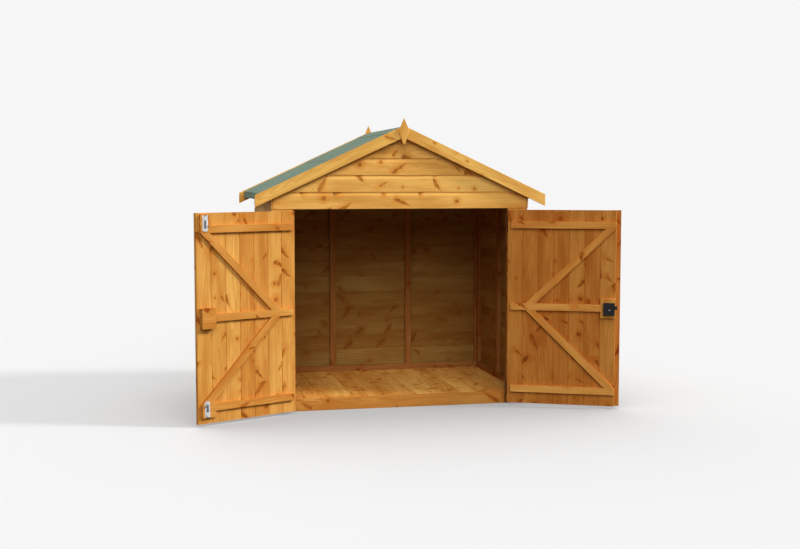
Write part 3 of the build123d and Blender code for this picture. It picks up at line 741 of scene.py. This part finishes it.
def black_paint(name, roughness=0.42):
    """Black stoved paint with a fine orange-peel surface."""
    material, n, surface = shader(name)
    if n is None:
        return material
    place = n.add("ShaderNodeTexCoord").outputs["Object"]
    peel = n.add("ShaderNodeTexNoise", {"Vector": place, "Scale": 900.0, "Detail": 2.0}).outputs["Fac"]
    dust = n.add("ShaderNodeTexNoise", {"Vector": place, "Scale": 60.0, "Detail": 3.0}).outputs["Fac"]
    black = colour_mix(n, smooth_step(n, dust, 0.4, 0.75), linear(13, 14, 17), linear(26, 27, 31))
    n.link(black, surface.inputs["Base Color"])
    n.link(smooth_step(n, dust, 0.3, 0.8, roughness - 0.06, roughness + 0.1), surface.inputs["Roughness"])
    surface.inputs["Specular IOR Level"].default_value = 0.22
    bumped(n, surface, peel, 0.2, 0.0004)
    return material


def nail_steel(name):
    """Dull steel of nail heads."""
    material, n, surface = shader(name)
    if n is None:
        return material
    place = n.add("ShaderNodeTexCoord").outputs["Object"]
    stain = n.add("ShaderNodeTexNoise", {"Vector": place, "Scale": 300.0, "Detail": 2.0}).outputs["Fac"]
    n.link(colour_mix(n, stain, linear(60, 46, 36), linear(104, 84, 64)), surface.inputs["Base Color"])
    surface.inputs["Metallic"].default_value = 0.6
    surface.inputs["Roughness"].default_value = 0.55
    return material


def finishes():
    """All finishes by name."""
    looks = bpy.context.scene.shelter_finish
    return {
        "cladding": knotty_softwood("treated_cladding", looks.cladding_colour),
        "door": knotty_softwood("treated_door_boards", looks.door_colour, 1.25),
        # Right door finishes: its boards are darker with painted shade, and its ledges lighter with painted light.
        "right_shade_door": knotty_softwood("treated_red_door_boards", looks.right_shade_door_colour, 1.25),
        # This ledge colour is lighter with painted light, to make up for the right door's shade.
        "right_shade_ledge": knotty_softwood("planed_red_ledges", looks.right_shade_ledge_colour, 0.7, 0.68),
        "ledge": knotty_softwood("planed_ledges", looks.ledge_colour, 0.6, 0.68),
        "trim": knotty_softwood("planed_trim", looks.trim_colour, 0.3),
        "frame": knotty_softwood("sawn_framing", looks.frame_colour, 0.8, 0.78),
        "floor": knotty_softwood("planed_floor", looks.floor_colour, 1.0, 0.66, 1.7),
        "bearer": knotty_softwood("planed_bearers", looks.bearer_colour, 1.0, 0.66, 1.5),
        "roof": knotty_softwood("roof_boarding", looks.frame_colour, 0.9, 0.78),
        "felt": mineral_felt("mineral_felt", looks.felt_colour),
        "zinc": zinc_plate("zinc_plate"),
        "rod": rod_shaded_steel("bolt_rod_steel"),
        "black": black_paint("black_hinge_paint"),
        "lock": black_paint("black_lock_paint", 0.34),
        "nail": nail_steel("nail_steel"),
        "clout": zinc_plate("clout_nail_zinc", (120, 123, 124), (150, 153, 154)),
    }


# Places shared by the pieces

HALF_WIDTH = high("right_wall").x
INNER_HALF = high("front_gable").x
FRONT = low("front_gable").y
BACK = high("back_wall").y
CLADDING = high("front_gable").y - FRONT
DOOR_EDGE = abs(joints["left_door_hinge"]["pos_m"][0]) - 0.0025
DOOR_WIDTH = DOOR_EDGE - 0.003
WALL_FOOT = low("left_wall").z
HEAD = low("front_gable").z
RIDGE = high("back_wall").z
FALL = (RIDGE - high("left_wall").z) / INNER_HALF
SLOPE = math.atan(FALL)


def roof_height(x, drop=0.0):
    """Height of the gable's top edge at x, less a vertical drop."""
    return RIDGE - FALL * abs(x) - drop


def mark(piece, body, slot, *nodes):
    """Ties a finished piece to its body and hides the solids that it stands for; the finish slot is not used."""
    if nodes:
        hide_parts(*nodes)
    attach(piece, body)


def leaf_turn(side):
    """How a shut door's place turns to where the door stands open."""
    joint = joints["left_door_hinge" if side == LEFT else "right_door_hinge"]
    pin = Vector(joint["pos_m"])
    turn = Matrix.Rotation(-math.radians(joint["range_deg"][0]), 4, Vector(joint["axis"]))
    return Matrix.Translation(pin) @ turn @ Matrix.Translation(-pin)


# Boards in runs


def shiplap_profile():
    """Outline of a shiplap board as (height, depth) points, from its bottom edge up."""
    c = bpy.context.scene.shelter_cladding
    lip = c.scoop_depth - SEAM
    start = c.cover - c.scoop_height
    face = [(0.0008, 0.0)] + [(start * i / 5, 0.0) for i in range(1, 5)]
    scoop = []
    for i in range(7):
        part = i / 6
        scoop.append((start + c.scoop_height * part, c.scoop_depth * (1 - (1 - part) ** 2)))
    tongue = [(c.cover + c.tongue, c.scoop_depth + SEAM), (c.cover + c.tongue, CLADDING)]
    back = [(start * i / 5, CLADDING) for i in range(5, 0, -1)]
    rebate = [(c.tongue + SEAM, CLADDING), (c.tongue + SEAM, lip), (0.0, lip), (0.0, 0.0008)]
    return face + scoop + tongue + back + rebate


def matched_profile(cover, thickness):
    """Outline of a tongued and grooved board with a chamfer on every edge."""
    groove, gap = bpy.context.scene.shelter_boards.groove, SEAM
    inner, outer = thickness * 0.36, thickness * 0.64
    return [
        (gap, groove), (gap + groove, 0), (cover - gap - groove, 0), (cover - gap, groove),
        (cover - gap, inner), (cover + 0.004, inner), (cover + 0.004, outer), (cover - gap, outer),
        (cover - gap, thickness - groove), (cover - gap - groove, thickness), (gap + groove, thickness),
        (gap, thickness - groove), (gap, outer), (gap, inner),
    ]


def board_run(name, profile, length, count, cover, limit, seed, material, trim=False, sawn_shade_from=None):
    """Boards laid side by side, in board coordinates: X along, Y across, Z through."""
    board = board_mesh(name + "_board", profile, length, sawn_shade_from)
    return grown(name, board, tree_named("Board run", board_run_tree), {
        "Boards": count, "Cover": cover, "Seed": seed, "Ridge": limit, "Fall": FALL,
        "Centre": length / 2, "Trim ends": trim, "Material": material,
    })


def clad(name, length, foot, top, seed, trim=False):
    c = bpy.context.scene.shelter_cladding
    count = math.ceil((top - foot) / c.cover - 0.001)
    return board_run(
        name, shiplap_profile(), length, count, c.cover, top - foot, c.seed + seed, finishes()["cladding"], trim,
        # Faces past nine tenths of the thickness are the boards' backs; they are marked sawn and get painted shade.
        CLADDING * 0.9,
    )


# Felt, as lines across the roof: each place is |x| and z on the boards, with the outward direction

FELT_BAND = 0.003
FELT_ROW, FELT_COLUMN = 0.03, 0.016
FOLD_ROWS, DROP_ROWS = 5, 6
FOLD_RADIUS = 0.003
RIDGE_ROUND, RIDGE_LIFT = 0.012, 0.0025
CLOUT_HEIGHT = 0.0008


def boards_top(x):
    """Height of the roof boards' upper face at x."""
    return high("left_roof_felt").z - FALL * abs(x) - FELT_BAND / math.cos(SLOPE)


def slope_line(start, stop):
    count = math.ceil((stop - start) / FELT_ROW)
    stop -= FOLD_RADIUS
    line = []
    for i in range(count + 1):
        x = start + (stop - start) * i / count
        line.append((x, boards_top(x), math.sin(SLOPE), math.cos(SLOPE), 0.0))
    return line


def drop_line(eaves, foot):
    """Round the edge of the roof boards and down to the felt's lower edge."""
    x, z = eaves - FOLD_RADIUS, boards_top(eaves - FOLD_RADIUS) - FOLD_RADIUS / math.cos(SLOPE)
    line = []
    for i in range(1, FOLD_ROWS + 1):
        turn = SLOPE + (math.pi / 2 - SLOPE) * i / FOLD_ROWS
        out, up = math.sin(turn), math.cos(turn)
        line.append((x + FOLD_RADIUS * out, z + FOLD_RADIUS * up, out, up, i / FOLD_ROWS))
    for i in range(1, DROP_ROWS + 1):
        line.append((eaves, z + (foot - z) * i / DROP_ROWS, 1.0, 0.0, 1.0))
    return line


def ridge_line(reach):
    """Up one slope, over the ridge and down the other."""
    side = slope_line(RIDGE_ROUND, reach + FOLD_RADIUS)
    over = []
    for i in range(-2, 3):
        part = i / 2.5
        turn, z = SLOPE * part, boards_top(RIDGE_ROUND) + RIDGE_LIFT * (1 - part ** 2)
        over.append((RIDGE_ROUND * part, z, math.sin(turn), math.cos(turn), 0.0))
    return [(-x, z, -nx, nz, loose) for x, z, nx, nz, loose in reversed(side)] + over + side


def felt_out(place, side, y, lift):
    """How far a layer's lower face stands off the boards, with its waves."""
    f = bpy.context.scene.shelter_felt
    x, z, _, _, loose = place
    broad = noise.noise(Vector((side * x * 5.0, y * 6.5, z * 9.0)))
    rise = broad + 0.5 * noise.noise(Vector((side * x * 14.0, y * 17.0, z * 21.0 + 3.0)))
    part = min(1.0, max(0.0, 0.5 + 0.6 * rise))
    return lift + part * (f.wave + loose * (f.loose_edge - f.wave))


def felt_strip(shape, line, side, lift):
    """Adds one layer of felt, a closed shell along the roof, to a shape."""
    thickness = bpy.context.scene.shelter_felt.thickness
    start, stop = low("left_roof_felt").y, high("left_roof_felt").y
    count = round((stop - start) / FELT_COLUMN)
    rings = []
    for k in range(count + 1):
        y = start + (stop - start) * k / count
        ring = []
        for place in line:
            x, z, nx, nz, _ = place
            out = felt_out(place, side, y, lift)
            pair = [shape.verts.new((side * (x + nx * far), y, z + nz * far)) for far in (out, out + thickness)]
            ring.append(pair)
        rings.append(ring)
    last = len(line) - 1
    for ring, after in zip(rings, rings[1:]):
        for i in range(last):
            for layer in (0, 1):
                shape.faces.new((ring[i][layer], ring[i + 1][layer], after[i + 1][layer], after[i][layer]))
        for i in (0, last):
            shape.faces.new((ring[i][0], ring[i][1], after[i][1], after[i][0]))
    for ring in (rings[0], rings[-1]):
        for i in range(last):
            shape.faces.new((ring[i][0], ring[i + 1][0], ring[i + 1][1], ring[i][1]))


def felt_piece(name, shape):
    bmesh.ops.recalc_face_normals(shape, faces=shape.faces)
    for face in shape.faces:
        face.smooth = True
    mesh = mesh_of(name, shape)
    mesh.set_sharp_from_angle(angle=math.radians(40))
    mesh.materials.append(finishes()["felt"])
    return shown(name, mesh)


def felt_nail(place, side, lift, y):
    """Place and direction of a nail head on a layer of felt."""
    x, z, nx, nz, _ = place
    out = felt_out(place, side, y, lift) + bpy.context.scene.shelter_felt.thickness - HEAD_SINK
    return (side * (x + nx * out), y, z + nz * out), (side * nx, 0, nz)


# Nails and screws: each head sinks a little into what it holds

HEAD_SINK = 0.0001
SCREW_HEIGHT = 0.0012
STRAP_SCREWS = (0.06, 0.14, 0.22, 0.28)
STRAP_LENGTH = 0.33
STRAP_MIDDLE = 0.0328
STRAP_FACE, PLATE_FACE = 0.0029, 0.003
PLATE_X, PLATE_MIDDLE, PLATE_STEP = 0.785, 0.055, 0.035
KEYHOLE = (0.042, -0.553, 0.705)
BUSH_RADIUS, BUSH_BORE, BUSH_HEIGHT = 0.0039, 0.0016, 0.0012


def uprights(node, axis):
    """Where the upright timbers of a frame stand along an axis."""
    places = []
    for corners in solid_corners(node):
        heights = [corner.z for corner in corners]
        across = [corner[axis] for corner in corners]
        if max(heights) - min(heights) > 0.5 and max(across) - min(across) < 0.1:
            places.append((max(across) + min(across)) / 2)
    return sorted(places)


def ledge_heights(node):
    """Lower and upper edge of each ledge of a door."""
    heights = [[corner.z for corner in corners] for corners in solid_corners(node)]
    return [(min(span), max(span)) for span in heights]


def board_feet(foot, top):
    """Heights of the nails in a run of shiplap, one near the foot of each board."""
    cover = bpy.context.scene.shelter_cladding.cover
    count = math.ceil((top - foot) / cover - 0.001)
    return [foot + cover * i + 0.024 for i in range(count)]


def turned(places, matrix):
    """Nail places of a shut door, moved to where it stands open."""
    return [(matrix @ Vector(place), matrix.to_3x3() @ Vector(facing)) for place, facing in places]


def bush_mesh(name, radius, bore, height):
    """A low ring with a rounded outer edge, facing along Z."""
    outline = [
        (radius, 0.0), (radius, height * 0.6), (radius - height * 0.4, height), (bore + 0.0003, height),
        (bore, height * 0.7), (bore, 0.0),
    ]
    shape = bmesh.new()
    rings = []
    for i in range(24):
        turn = 2 * math.pi * i / 24
        rings.append([shape.verts.new((r * math.cos(turn), r * math.sin(turn), z)) for r, z in outline])
    for ring, after in zip(rings, rings[1:] + rings[:1]):
        for i in range(len(outline)):
            j = (i + 1) % len(outline)
            shape.faces.new((ring[i], ring[j], after[j], after[i]))
    bmesh.ops.recalc_face_normals(shape, faces=shape.faces)
    return mesh_of(name, shape)


# Operators


class SHELTER_OT_cladding(bpy.types.Operator):
    """Shiplap boards of the three walls, the front gable and the strips beside the doorway"""

    bl_idname = "shelter.cladding"
    bl_label = "Cladding"

    def execute(self, context):
        up = (0, 0, 1)
        for node, side, seed in (("left_wall", LEFT, 1), ("right_wall", RIGHT, 2)):
            mesh = clad(node + "_shiplap", BACK - FRONT, WALL_FOOT, high(node).z, seed)
            matrix = frame_matrix((side * HALF_WIDTH, side * BACK, WALL_FOOT), (0, -side, 0), up)
            for vert in mesh.vertices:
                vert.co.y = min(vert.co.y, roof_height((matrix @ vert.co).x) - WALL_FOOT)
            mark(shown(node + "_shiplap", mesh, matrix), "shelter", "wall_cladding", node)
        for node, foot, y, way, seed in (
            ("back_wall", WALL_FOOT, BACK, 1, 3), ("front_gable", HEAD, FRONT, -1, 66),
        ):
            mesh = clad(node + "_shiplap", 2 * INNER_HALF, foot, RIDGE, seed, trim=True)
            matrix = frame_matrix((-way * INNER_HALF, y, foot), (way, 0, 0), up)
            mark(shown(node + "_shiplap", mesh, matrix), "shelter", "wall_cladding", node)
        for node, seed in (("front_left_strip", 5), ("front_right_strip", 6)):
            start, stop = low(node), high(node)
            mesh = clad(node + "_shiplap", stop.x - start.x, WALL_FOOT, HEAD - SEAM, seed)
            matrix = frame_matrix((stop.x, FRONT, WALL_FOOT), (-1, 0, 0), up)
            mark(shown(node + "_shiplap", mesh, matrix), "shelter", "wall_cladding", node)
        return {"FINISHED"}


class SHELTER_OT_framing(bpy.types.Operator):
    """Rails, studs, posts and rafters inside the walls"""

    bl_idname = "shelter.framing"
    bl_label = "Framing"

    def execute(self, context):
        nodes = (
            "door_posts", "header_rail", "left_wall_frame", "right_wall_frame", "back_wall_frame",
            "front_gable_rafters", "back_gable_rafters",
        )
        for seed, node in enumerate(nodes, 20):
            mark(timbers(node + "_sawn", [node], seed, finishes()["frame"]), "shelter", "frame_timber", node)
        return {"FINISHED"}


class SHELTER_OT_floor(bpy.types.Operator):
    """Bearers, floor boards and the board across the front of the floor"""

    bl_idname = "shelter.floor"
    bl_label = "Floor"

    def execute(self, context):
        b = context.scene.shelter_boards
        for seed, node, edge in ((31, "floor_bearers", b.eased_edge), (32, "floor_front_board", 2.5 * b.eased_edge)):
            mark(timbers(node + "_planed", [node], seed, finishes()["bearer"], edge), "shelter", "floor_timber", node)
        start, stop = low("floor_deck"), high("floor_deck")
        cover = (stop.x - start.x) / b.floor_boards
        mesh = board_run(
            "floor_deck_boards", matched_profile(cover, stop.z - start.z), stop.y - start.y, b.floor_boards, cover,
            stop.x - start.x, b.seed + 33, finishes()["floor"],
        )
        matrix = frame_matrix((stop.x, start.y, start.z), (0, 1, 0), (-1, 0, 0))
        mark(shown("floor_deck_boards", mesh, matrix), "shelter", "floor_timber", "floor_deck")
        return {"FINISHED"}


class SHELTER_OT_roof(bpy.types.Operator):
    """Roof boards on both slopes and the battens under them"""

    bl_idname = "shelter.roof"
    bl_label = "Roof boards"

    def execute(self, context):
        b = context.scene.shelter_boards
        for node, side in (("left_roof_boards", LEFT), ("right_roof_boards", RIGHT)):
            start, stop = low(node), high(node)
            reach = (stop.x - start.x) / math.cos(SLOPE)
            thickness = (stop.z - start.z - (stop.x - start.x) * FALL) * math.cos(SLOPE)
            cover = reach / b.roof_boards
            mesh = board_run(
                node + "_matched", matched_profile(cover, thickness), stop.y - start.y, b.roof_boards, cover, reach,
                b.seed + 40 + side, finishes()["roof"],
            )
            near = stop.x if side == LEFT else start.x
            matrix = frame_matrix(
                (near, side * stop.y, stop.z - thickness / math.cos(SLOPE)), (0, -side, 0),
                (side * math.cos(SLOPE), 0, -math.sin(SLOPE)), (0, 0, 1 / math.cos(SLOPE)),
            )
            mark(shown(node + "_matched", mesh, matrix), "shelter", "roof_timber", node)
        battens = timbers("roof_battens_sawn", ["roof_battens"], 43, finishes()["roof"])
        mark(battens, "shelter", "roof_timber", "roof_battens")
        return {"FINISHED"}


class SHELTER_OT_felt(bpy.types.Operator):
    """Felt on both slopes, turned down at the eaves, the strip folded over the ridge, and their nails"""

    bl_idname = "shelter.felt"
    bl_label = "Felt"

    def execute(self, context):
        f, clout = context.scene.shelter_felt, finishes()["clout"]
        radius = context.scene.shelter_fixings.clout_radius
        for node, side in (("left_roof_felt", LEFT), ("right_roof_felt", RIGHT)):
            eaves = max(abs(low(node).x), abs(high(node).x)) - FELT_BAND
            line = slope_line(0.0, eaves) + drop_line(eaves, low(node).z)
            foot = [place for place in line if place[0] > eaves / 2 - f.lap / 2]
            head = [place for place in line if place[0] < eaves / 2 + f.lap / 2]
            top = FELT_BAND - f.thickness
            shape = bmesh.new()
            felt_strip(shape, foot, side, 0.0)
            felt_strip(shape, head, side, top)
            mark(felt_piece(node + "_strips", shape), "shelter", "roof_felt", node)
            places = [felt_nail(line[-1 - DROP_ROWS // 2], side, 0.0, y) for y in self.along(f.nail_pitch)]
            places += [felt_nail(head[-2], side, top, y) for y in self.along(f.nail_pitch)]
            mark(fixings(node + "_nails", places, radius, CLOUT_HEIGHT, clout), "shelter", "galvanised_steel")
        cap = ridge_line(high("ridge_felt").x)
        shape = bmesh.new()
        felt_strip(shape, cap, RIGHT, FELT_BAND + SEAM)
        mark(felt_piece("ridge_felt_cap", shape), "shelter", "roof_felt", "ridge_felt")
        places = [felt_nail(cap[row], RIGHT, FELT_BAND + SEAM, y) for row in (1, -2) for y in self.along(f.nail_pitch)]
        mark(fixings("ridge_felt_nails", places, radius, CLOUT_HEIGHT, clout), "shelter", "galvanised_steel")
        return {"FINISHED"}

    @staticmethod
    def along(pitch):
        return spaced(low("ridge_felt").y, high("ridge_felt").y, pitch, 0.03)


class SHELTER_OT_trim(bpy.types.Operator):
    """Bargeboards up the verges, and the finials over their joints"""

    bl_idname = "shelter.trim"
    bl_label = "Trim"

    def execute(self, context):
        trim = finishes()["trim"]
        boards = ("front_left_bargeboard", "front_right_bargeboard", "rear_left_bargeboard", "rear_right_bargeboard")
        for seed, node in enumerate(boards, 50):
            mark(timbers(node + "_planed", [node], seed, trim), "shelter", "trim_timber", node)
        for seed, node in enumerate(("front_finial", "rear_finial"), 56):
            mark(timbers(node + "_planed", [node], seed, trim, along=(0, 0, 1)), "shelter", "trim_timber", node)
        return {"FINISHED"}


class SHELTER_OT_doors(bpy.types.Operator):
    """Both doors: matched boards, ledges, braces, strips and blocks"""

    bl_idname = "shelter.doors"
    bl_label = "Doors"

    def execute(self, context):
        b = context.scene.shelter_boards
        looks = finishes()
        for side, body in ((LEFT, "left_door"), (RIGHT, "right_door")):
            # The right door's boards take the colour with painted shade.
            node, finish = body + "_boards", looks["door" if side == LEFT else "right_shade_door"]
            foot, length = low(node).z, high(node).z - low(node).z
            cover = DOOR_WIDTH / b.door_boards
            mesh = board_run(
                node + "_matched", matched_profile(cover, CLADDING), length, b.door_boards, cover, DOOR_WIDTH,
                b.seed + 60 + side, finish,
            )
            y = FRONT if side == LEFT else FRONT + CLADDING
            shut = frame_matrix((side * DOOR_EDGE, y, foot), (0, 0, 1), (-side, 0, 0))
            mark(shown(node + "_matched", mesh, leaf_turn(side) @ shut), body, "door_timber", node)
        parts = (
            "left_door_ledges", "left_door_braces", "left_door_meeting_strip", "left_door_bolt_blocks",
            "left_door_keeper_block", "right_door_ledges", "right_door_braces", "right_door_meeting_strip",
            "right_door_cover_strip", "right_door_lock_block",
        )
        for seed, node in enumerate(parts, 64):
            body = "left_door" if node.startswith("left") else "right_door"
            # The right door's strips take its board colour with painted shade, and its ledges and block take the ledge
            # colour with painted light.
            finish = looks[("" if body == "left_door" else "right_shade_") + ("door" if "strip" in node else "ledge")]
            mark(timbers(node + "_planed", [node], seed, finish), body, "door_timber", node)
        return {"FINISHED"}


class SHELTER_OT_ironwork(bpy.types.Operator):
    """Finish of the hinges, bolts and lock"""

    bl_idname = "shelter.ironwork"
    bl_label = "Ironwork"

    def execute(self, context):
        looks = finishes()
        for node, finish in (
            ("hinge_plates", "black"), ("left_door_hinge_straps", "black"), ("right_door_hinge_straps", "black"),
            ("left_door_bolt_plates", "zinc"), ("top_bolt_rod", "rod"), ("bottom_bolt_rod", "rod"),
            ("right_door_rim_lock", "lock"),
        ):
            frame["nodes"][node].material_slots[0].material = looks[finish]
        bush = bush_mesh("keyhole_bush", BUSH_RADIUS, BUSH_BORE, BUSH_HEIGHT)
        bush.materials.append(looks["zinc"])
        shut = frame_matrix(KEYHOLE, (0, 0, 1), (1, 0, 0))
        mark(shown("keyhole_bush", bush, leaf_turn(RIGHT) @ shut), "right_door", "galvanised_steel")
        return {"FINISHED"}


class SHELTER_OT_fixings(bpy.types.Operator):
    """Nails through the cladding and the door boards, and the hinges' screws"""

    bl_idname = "shelter.fixings"
    bl_label = "Nails and screws"

    def execute(self, context):
        s, looks = context.scene.shelter_fixings, finishes()
        for node, side in (("left_wall", LEFT), ("right_wall", RIGHT)):
            x, heights = side * (HALF_WIDTH - HEAD_SINK), board_feet(WALL_FOOT, high(node).z - 0.03)
            places = [((x, y, z), (side, 0, 0)) for y in uprights(node + "_frame", 1) for z in heights]
            mark(fixings(node + "_nails", places, s.nail_radius, s.head_height, looks["nail"]), "shelter", "wall_cladding")
        heights = board_feet(WALL_FOOT, high("left_wall").z - 0.03)
        back, front = BACK - HEAD_SINK, FRONT + HEAD_SINK
        places = [((x, back, z), (0, 1, 0)) for x in uprights("back_wall_frame", 0) for z in heights]
        for z in board_feet(HEAD, RIDGE - 0.05):
            reach = (RIDGE - z) / FALL - 0.09
            for x in (-reach, 0.0, reach):
                if abs(x) < INNER_HALF - 0.02:
                    places += [((x, back, z), (0, 1, 0)), ((x, front, z), (0, -1, 0))]
        for node in ("front_left_strip", "front_right_strip"):
            x = (low(node).x + high(node).x) / 2
            places += [((x, front, z), (0, -1, 0)) for z in board_feet(WALL_FOOT, HEAD - 0.03)]
        mark(fixings("end_wall_nails", places, s.nail_radius, s.head_height, looks["nail"]), "shelter", "wall_cladding")
        for side, body in ((LEFT, "left_door"), (RIGHT, "right_door")):
            self.door(side, body, s, looks)
        middles = (low("hinge_plates").z + PLATE_MIDDLE, high("hinge_plates").z - PLATE_MIDDLE)
        heights = [middle + step for middle in middles for step in (-PLATE_STEP, PLATE_STEP)]
        y = FRONT - PLATE_FACE + HEAD_SINK
        places = [((side * PLATE_X, y, z), (0, -1, 0)) for side in (LEFT, RIGHT) for z in heights]
        heads = fixings("hinge_plate_screws", places, s.screw_radius, SCREW_HEIGHT, looks["black"])
        mark(heads, "shelter", "black_hinge_metal")
        return {"FINISHED"}

    @staticmethod
    def door(side, body, s, looks):
        straps = body + "_hinge_straps"
        heights = (low(straps).z + STRAP_MIDDLE, high(straps).z - STRAP_MIDDLE)
        across = [side * (DOOR_EDGE - reach) for reach in STRAP_SCREWS]
        places = [((x, FRONT - STRAP_FACE, z), (0, -1, 0)) for x in across for z in heights]
        turn = leaf_turn(side)
        heads = fixings(straps + "_screws", turned(places, turn), s.screw_radius, SCREW_HEIGHT, looks["black"])
        mark(heads, body, "black_hinge_metal")
        count = bpy.context.scene.shelter_boards.door_boards
        cover = DOOR_WIDTH / count
        places = []
        for ledge_foot, ledge_top in ledge_heights(body + "_ledges"):
            for i in range(count):
                for part in (0.28, 0.72):
                    x = side * (DOOR_EDGE - cover * (i + 0.5) - 0.012 * (part - 0.5))
                    z = ledge_foot + (ledge_top - ledge_foot) * part
                    if DOOR_EDGE - abs(x) > STRAP_LENGTH or all(abs(z - height) > 0.03 for height in heights):
                        places.append(((x, FRONT + HEAD_SINK, z), (0, -1, 0)))
        heads = fixings(body + "_nails", turned(places, turn), s.nail_radius, s.head_height, looks["nail"])
        mark(heads, body, "door_timber")


WHITE_SEEN = 0.925
FLOOR_GLOW = 0.55
KEY_SOFTNESS = math.radians(9)
SOFT_LAMPS = (("front", 50, -4, 34), ("back", 70, -150, 35), ("top", 90, 10, 80))


class SHELTER_OT_stage(bpy.types.Operator):
    """Floor, lights and camera"""

    bl_idname = "shelter.stage"
    bl_label = "Stage"

    def execute(self, context):
        s = context.scene.shelter_stage
        scene = context.scene
        lens = bpy.data.cameras.new("camera")
        lens.lens = s.lens
        lens.sensor_width = 36
        lens.clip_end = 200
        camera = bpy.data.objects.new("camera", lens)
        camera.location = s.camera_place
        camera.rotation_euler = (math.pi / 2 - s.camera_pitch, 0, -s.camera_yaw)
        scene.collection.objects.link(camera)
        scene.camera = camera

        floor_mesh = bpy.data.meshes.new("studio_floor")
        floor_mesh.from_pydata([(-60, -60, 0), (60, -60, 0), (60, 60, 0), (-60, 60, 0)], [], [(0, 1, 2, 3)])
        floor = bpy.data.objects.new("studio_floor", floor_mesh)
        scene.collection.objects.link(floor)
        floor_mesh.materials.append(studio_white("studio_white"))

        def lamp(name, power, softness, azimuth, elevation):
            sun = bpy.data.lights.new(name, "SUN")
            sun.energy = power
            sun.angle = softness
            away = Vector((
                math.sin(azimuth) * math.cos(elevation), -math.cos(azimuth) * math.cos(elevation), math.sin(elevation),
            ))
            placed = bpy.data.objects.new(name, sun)
            placed.rotation_euler = away.to_track_quat("Z", "Y").to_euler()
            scene.collection.objects.link(placed)

        lamp("key", s.key_power, KEY_SOFTNESS, s.key_azimuth, s.key_elevation)
        for name, *degrees in SOFT_LAMPS:
            lamp(name, getattr(s, name + "_power"), *map(math.radians, degrees))

        world = bpy.data.worlds.new("studio")
        world.use_nodes = True
        n = NodeTree(world.node_tree)
        background = world.node_tree.nodes["Background"]
        seen = seen_directly(n)
        strength = n.maths("ADD", n.maths("MULTIPLY", seen, WHITE_SEEN - s.fill_power), s.fill_power)
        background.inputs["Color"].default_value = (1, 1, 1, 1)
        n.link(strength, background.inputs["Strength"])
        scene.world = world
        scene.view_settings.view_transform = "Standard"
        return {"FINISHED"}


def seen_directly(n):
    """1 for what the camera sees, also in metal and glass, and 0 for light that bounces."""
    rays = n.add("ShaderNodeLightPath")
    seen = n.maths("ADD", rays.outputs["Is Camera Ray"], rays.outputs["Is Glossy Ray"])
    return n.maths("ADD", seen, rays.outputs["Is Transmission Ray"], clamp=True)


def studio_white(name):
    """A pale floor that keeps the lamps' shadows, with painted shade near the shed from ambient occlusion in its colour
    and glow, and throws little light back up.
    """
    material, n, surface = shader(name)
    if n is None:
        return material
    seen = seen_directly(n)
    # Painted shade: the floor's colour and glow darken where ambient occlusion finds the shed near, a painted contact
    # shadow.
    near = n.add("ShaderNodeAmbientOcclusion", {"Distance": 4.0}, samples=16).outputs["AO"]
    pale_with_painted_shade = smooth_step(n, near, 0.35, 1.0, 0.535, 0.90)
    colour = n.add("ShaderNodeCombineColor", {"Red": pale_with_painted_shade, "Green": pale_with_painted_shade, "Blue": pale_with_painted_shade}).outputs[0]
    n.link(colour_mix(n, seen, (0.10, 0.10, 0.10, 1), colour), surface.inputs["Base Color"])
    surface.inputs["Roughness"].default_value = 0.9
    surface.inputs["Specular IOR Level"].default_value = 0.0
    glow = n.add("ShaderNodeEmission", {"Color": colour, "Strength": 0.98})
    mixed = n.add("ShaderNodeMixShader", {
        0: n.maths("MULTIPLY", seen, FLOOR_GLOW), 1: surface.outputs[0], 2: glow.outputs[0],
    })
    n.link(mixed.outputs[0], material.node_tree.nodes["Material Output"].inputs["Surface"])
    return material


class SHELTER_PT_panel(bpy.types.Panel):
    bl_label = "Bike Shelter"
    bl_idname = "SHELTER_PT_panel"
    bl_space_type = "VIEW_3D"
    bl_region_type = "UI"
    bl_category = "Bike Shelter"

    def draw(self, context):
        scene = context.scene
        for settings in (getattr(scene, name) for name in SETTINGS):
            for key in settings.bl_rna.properties.keys():
                if key not in ("rna_type", "name"):
                    self.layout.prop(settings, key)
        for operator in OPERATORS:
            self.layout.operator(operator.bl_idname)


SETTINGS = {
    "shelter_cladding": CladdingSettings, "shelter_boards": BoardSettings, "shelter_felt": FeltSettings,
    "shelter_fixings": FixingSettings, "shelter_finish": FinishSettings, "shelter_stage": StageSettings,
}
OPERATORS = (
    SHELTER_OT_stage, SHELTER_OT_cladding, SHELTER_OT_framing, SHELTER_OT_floor, SHELTER_OT_roof, SHELTER_OT_felt,
    SHELTER_OT_trim, SHELTER_OT_doors, SHELTER_OT_ironwork, SHELTER_OT_fixings,
)


def register():
    for name, group in SETTINGS.items():
        bpy.utils.register_class(group)
        setattr(bpy.types.Scene, name, PointerProperty(type=group))
    for operator in OPERATORS:
        bpy.utils.register_class(operator)
    bpy.utils.register_class(SHELTER_PT_panel)


def unregister():
    bpy.utils.unregister_class(SHELTER_PT_panel)
    for operator in reversed(OPERATORS):
        bpy.utils.unregister_class(operator)
    for name, group in SETTINGS.items():
        delattr(bpy.types.Scene, name)
        bpy.utils.unregister_class(group)


def main():
    register()
    for operator in OPERATORS:
        group, name = operator.bl_idname.split(".")
        getattr(getattr(bpy.ops, group), name)()


if __name__ == "__main__":
    main()
